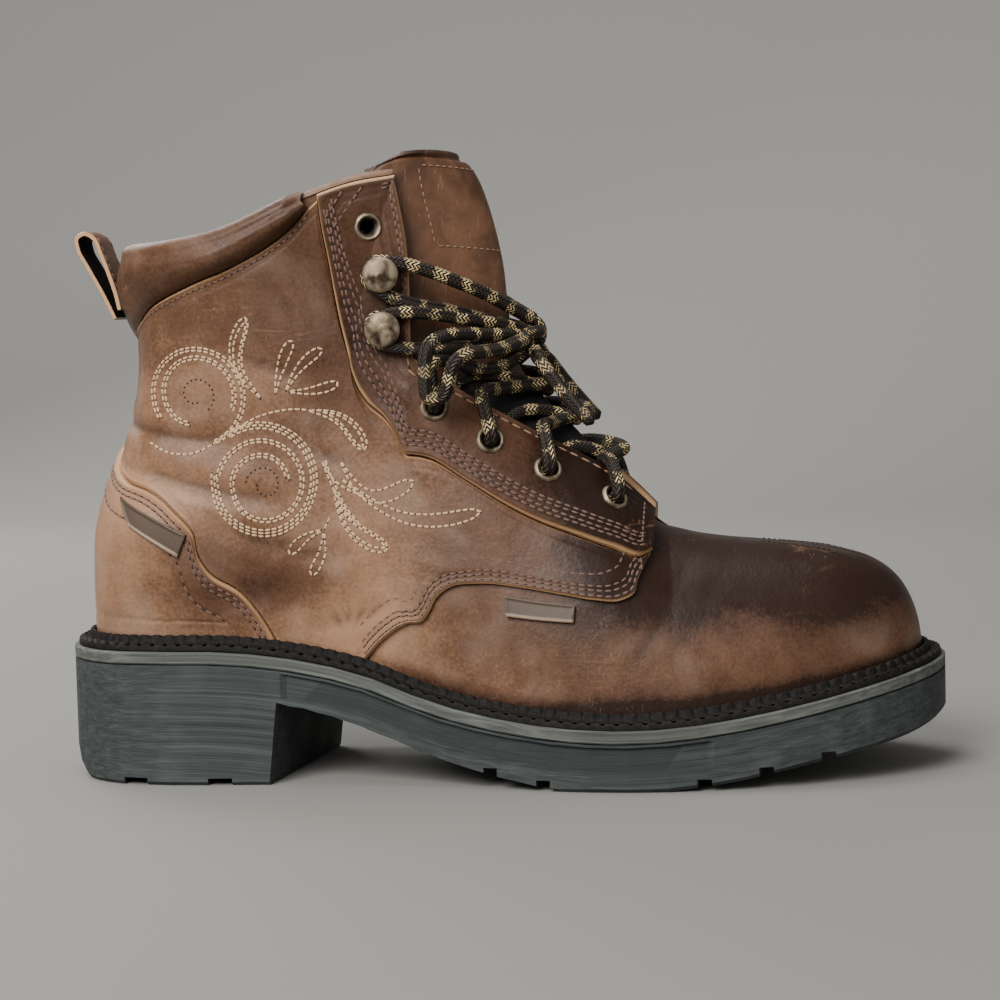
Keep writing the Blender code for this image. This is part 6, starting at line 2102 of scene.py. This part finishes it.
def build_hook_strands():
    """Each hook is wrapped by a doubled strand that runs to the knot."""
    knot = knot_centre()
    around_low = locate(OUTER, *EYELET_PLACES[3])[0]
    for side in SIDES:
        name = SIDE_NAMES[side]
        for number, row in enumerate(HOOK_PLACES):
            bend = hook_turn(side, row)
            if bend[0][2] < bend[-1][2]:
                bend = bend[::-1]
            below = 0.004 * (1 - number)
            first = knot + (0.0010, side * 0.0035, 0.0045 - below)
            last = knot + (0.0010, side * 0.0035, 0.0005 - below)
            out = form_normal(side, locate(side, row.along, row.rise)[0], 1.0) * 0.0045
            high = 0.5 * (bend[0] + first) + out + (0.002, 0, 0.0016)
            low = 0.5 * (bend[-1] + last) + out + (0.002, 0, -0.0012)
            points = [first, high, *bend, low, last]
            stands_for = ("lace_cross_4",) if side == OUTER and number == 0 else ()
            strand(f"hook_strand_{name}_{number + 1}", points, stands_for)
        start = through_eyelet(side, EYELET_PLACES[3])
        lean = on_form(side, around_low - 0.010, 1.0, STAY_FACE + 1.1 * LACE_RADIUS)
        over = on_tongue(0.425, side * 0.28, LACE_RADIUS + CROSS_LIFT)
        strand(f"lace_strand_4_{name}", [*start, lean, over, knot + (0.001, side * 0.002, -0.004)])


# Room and light


ROOM_REACH = 4.0  # of the floor to each side and to the front
ROOM_BACK = 1.0  # where the floor starts to bend up
ROOM_BEND = 0.9  # radius of that bend
ROOM_HEIGHT = 3.0


def build_room():
    """A floor that bends up into a back wall, and an even light all round."""
    profile = [(-ROOM_REACH, 0.0), (ROOM_BACK, 0.0)]
    for angle in np.radians(np.linspace(0, 90, 19)[1:]):
        profile.append((ROOM_BACK + ROOM_BEND * math.sin(angle), ROOM_BEND * (1 - math.cos(angle))))
    profile.append((ROOM_BACK + ROOM_BEND, ROOM_HEIGHT))
    points = [(x, y, z) for y, z in profile for x in (-ROOM_REACH, ROOM_REACH)]
    faces = [(2 * k, 2 * k + 1, 2 * k + 3, 2 * k + 2) for k in range(len(profile) - 1)]
    mesh = bpy.data.meshes.new("floor")
    mesh.from_pydata(points, [], faces)
    mesh.shade_smooth()
    mesh.materials.append(floor_shade("floor_pale"))
    floor = bpy.data.objects.new("floor", mesh)
    bpy.context.scene.collection.objects.link(floor)
    world = bpy.data.worlds.new("studio")
    bpy.context.scene.world = world
    world.use_nodes = True
    background = world.node_tree.nodes["Background"]
    background.inputs["Color"].default_value = (0.86, 0.88, 0.92, 1.0)
    background.inputs["Strength"].default_value = 0.40


LampRow = namedtuple("LampRow", "name x y z size power warmth")
LAMPS = [
    LampRow("key", -0.42, -0.95, 0.80, 0.70, 28.0, 0.99),
    LampRow("top", -0.20, 0.10, 1.20, 0.70, 8.0, 0.98),
    LampRow("front", 1.00, -0.70, 0.45, 0.60, 1.4, 0.96),
    LampRow("back", -0.70, 0.80, 0.70, 0.60, 7.0, 1.00),
]


def build_lamps():
    for row in LAMPS:
        data = bpy.data.lights.new(row.name, "AREA")
        data.size = row.size
        data.energy = row.power
        data.color = (1.0, row.warmth, row.warmth**2)
        lamp = bpy.data.objects.new(row.name, data)
        bpy.context.scene.collection.objects.link(lamp)
        place = Vector((row.x + AIM[0], row.y, row.z))
        look = (Vector(AIM) - place).to_track_quat("-Z", "Y").to_matrix().to_4x4()
        lamp.matrix_world = Matrix.Translation(place) @ look


build_free_lace()
build_upper()
build_quarters()
build_counter()
build_collar()
build_eyestays()
build_scrollwork()
build_tongue()
build_pull_loop()
build_tags()
build_fittings()
build_crossings()
build_hook_strands()
recoat("outsole", "outsole_brushed", "rubber")
recoat("midsole", "midsole_strip", "rubber_strip")
build_welt()
build_insole()
for gathered in SEWN.values():
    gathered.finish()
build_room()
build_lamps()
bpy.context.view_layer.update()
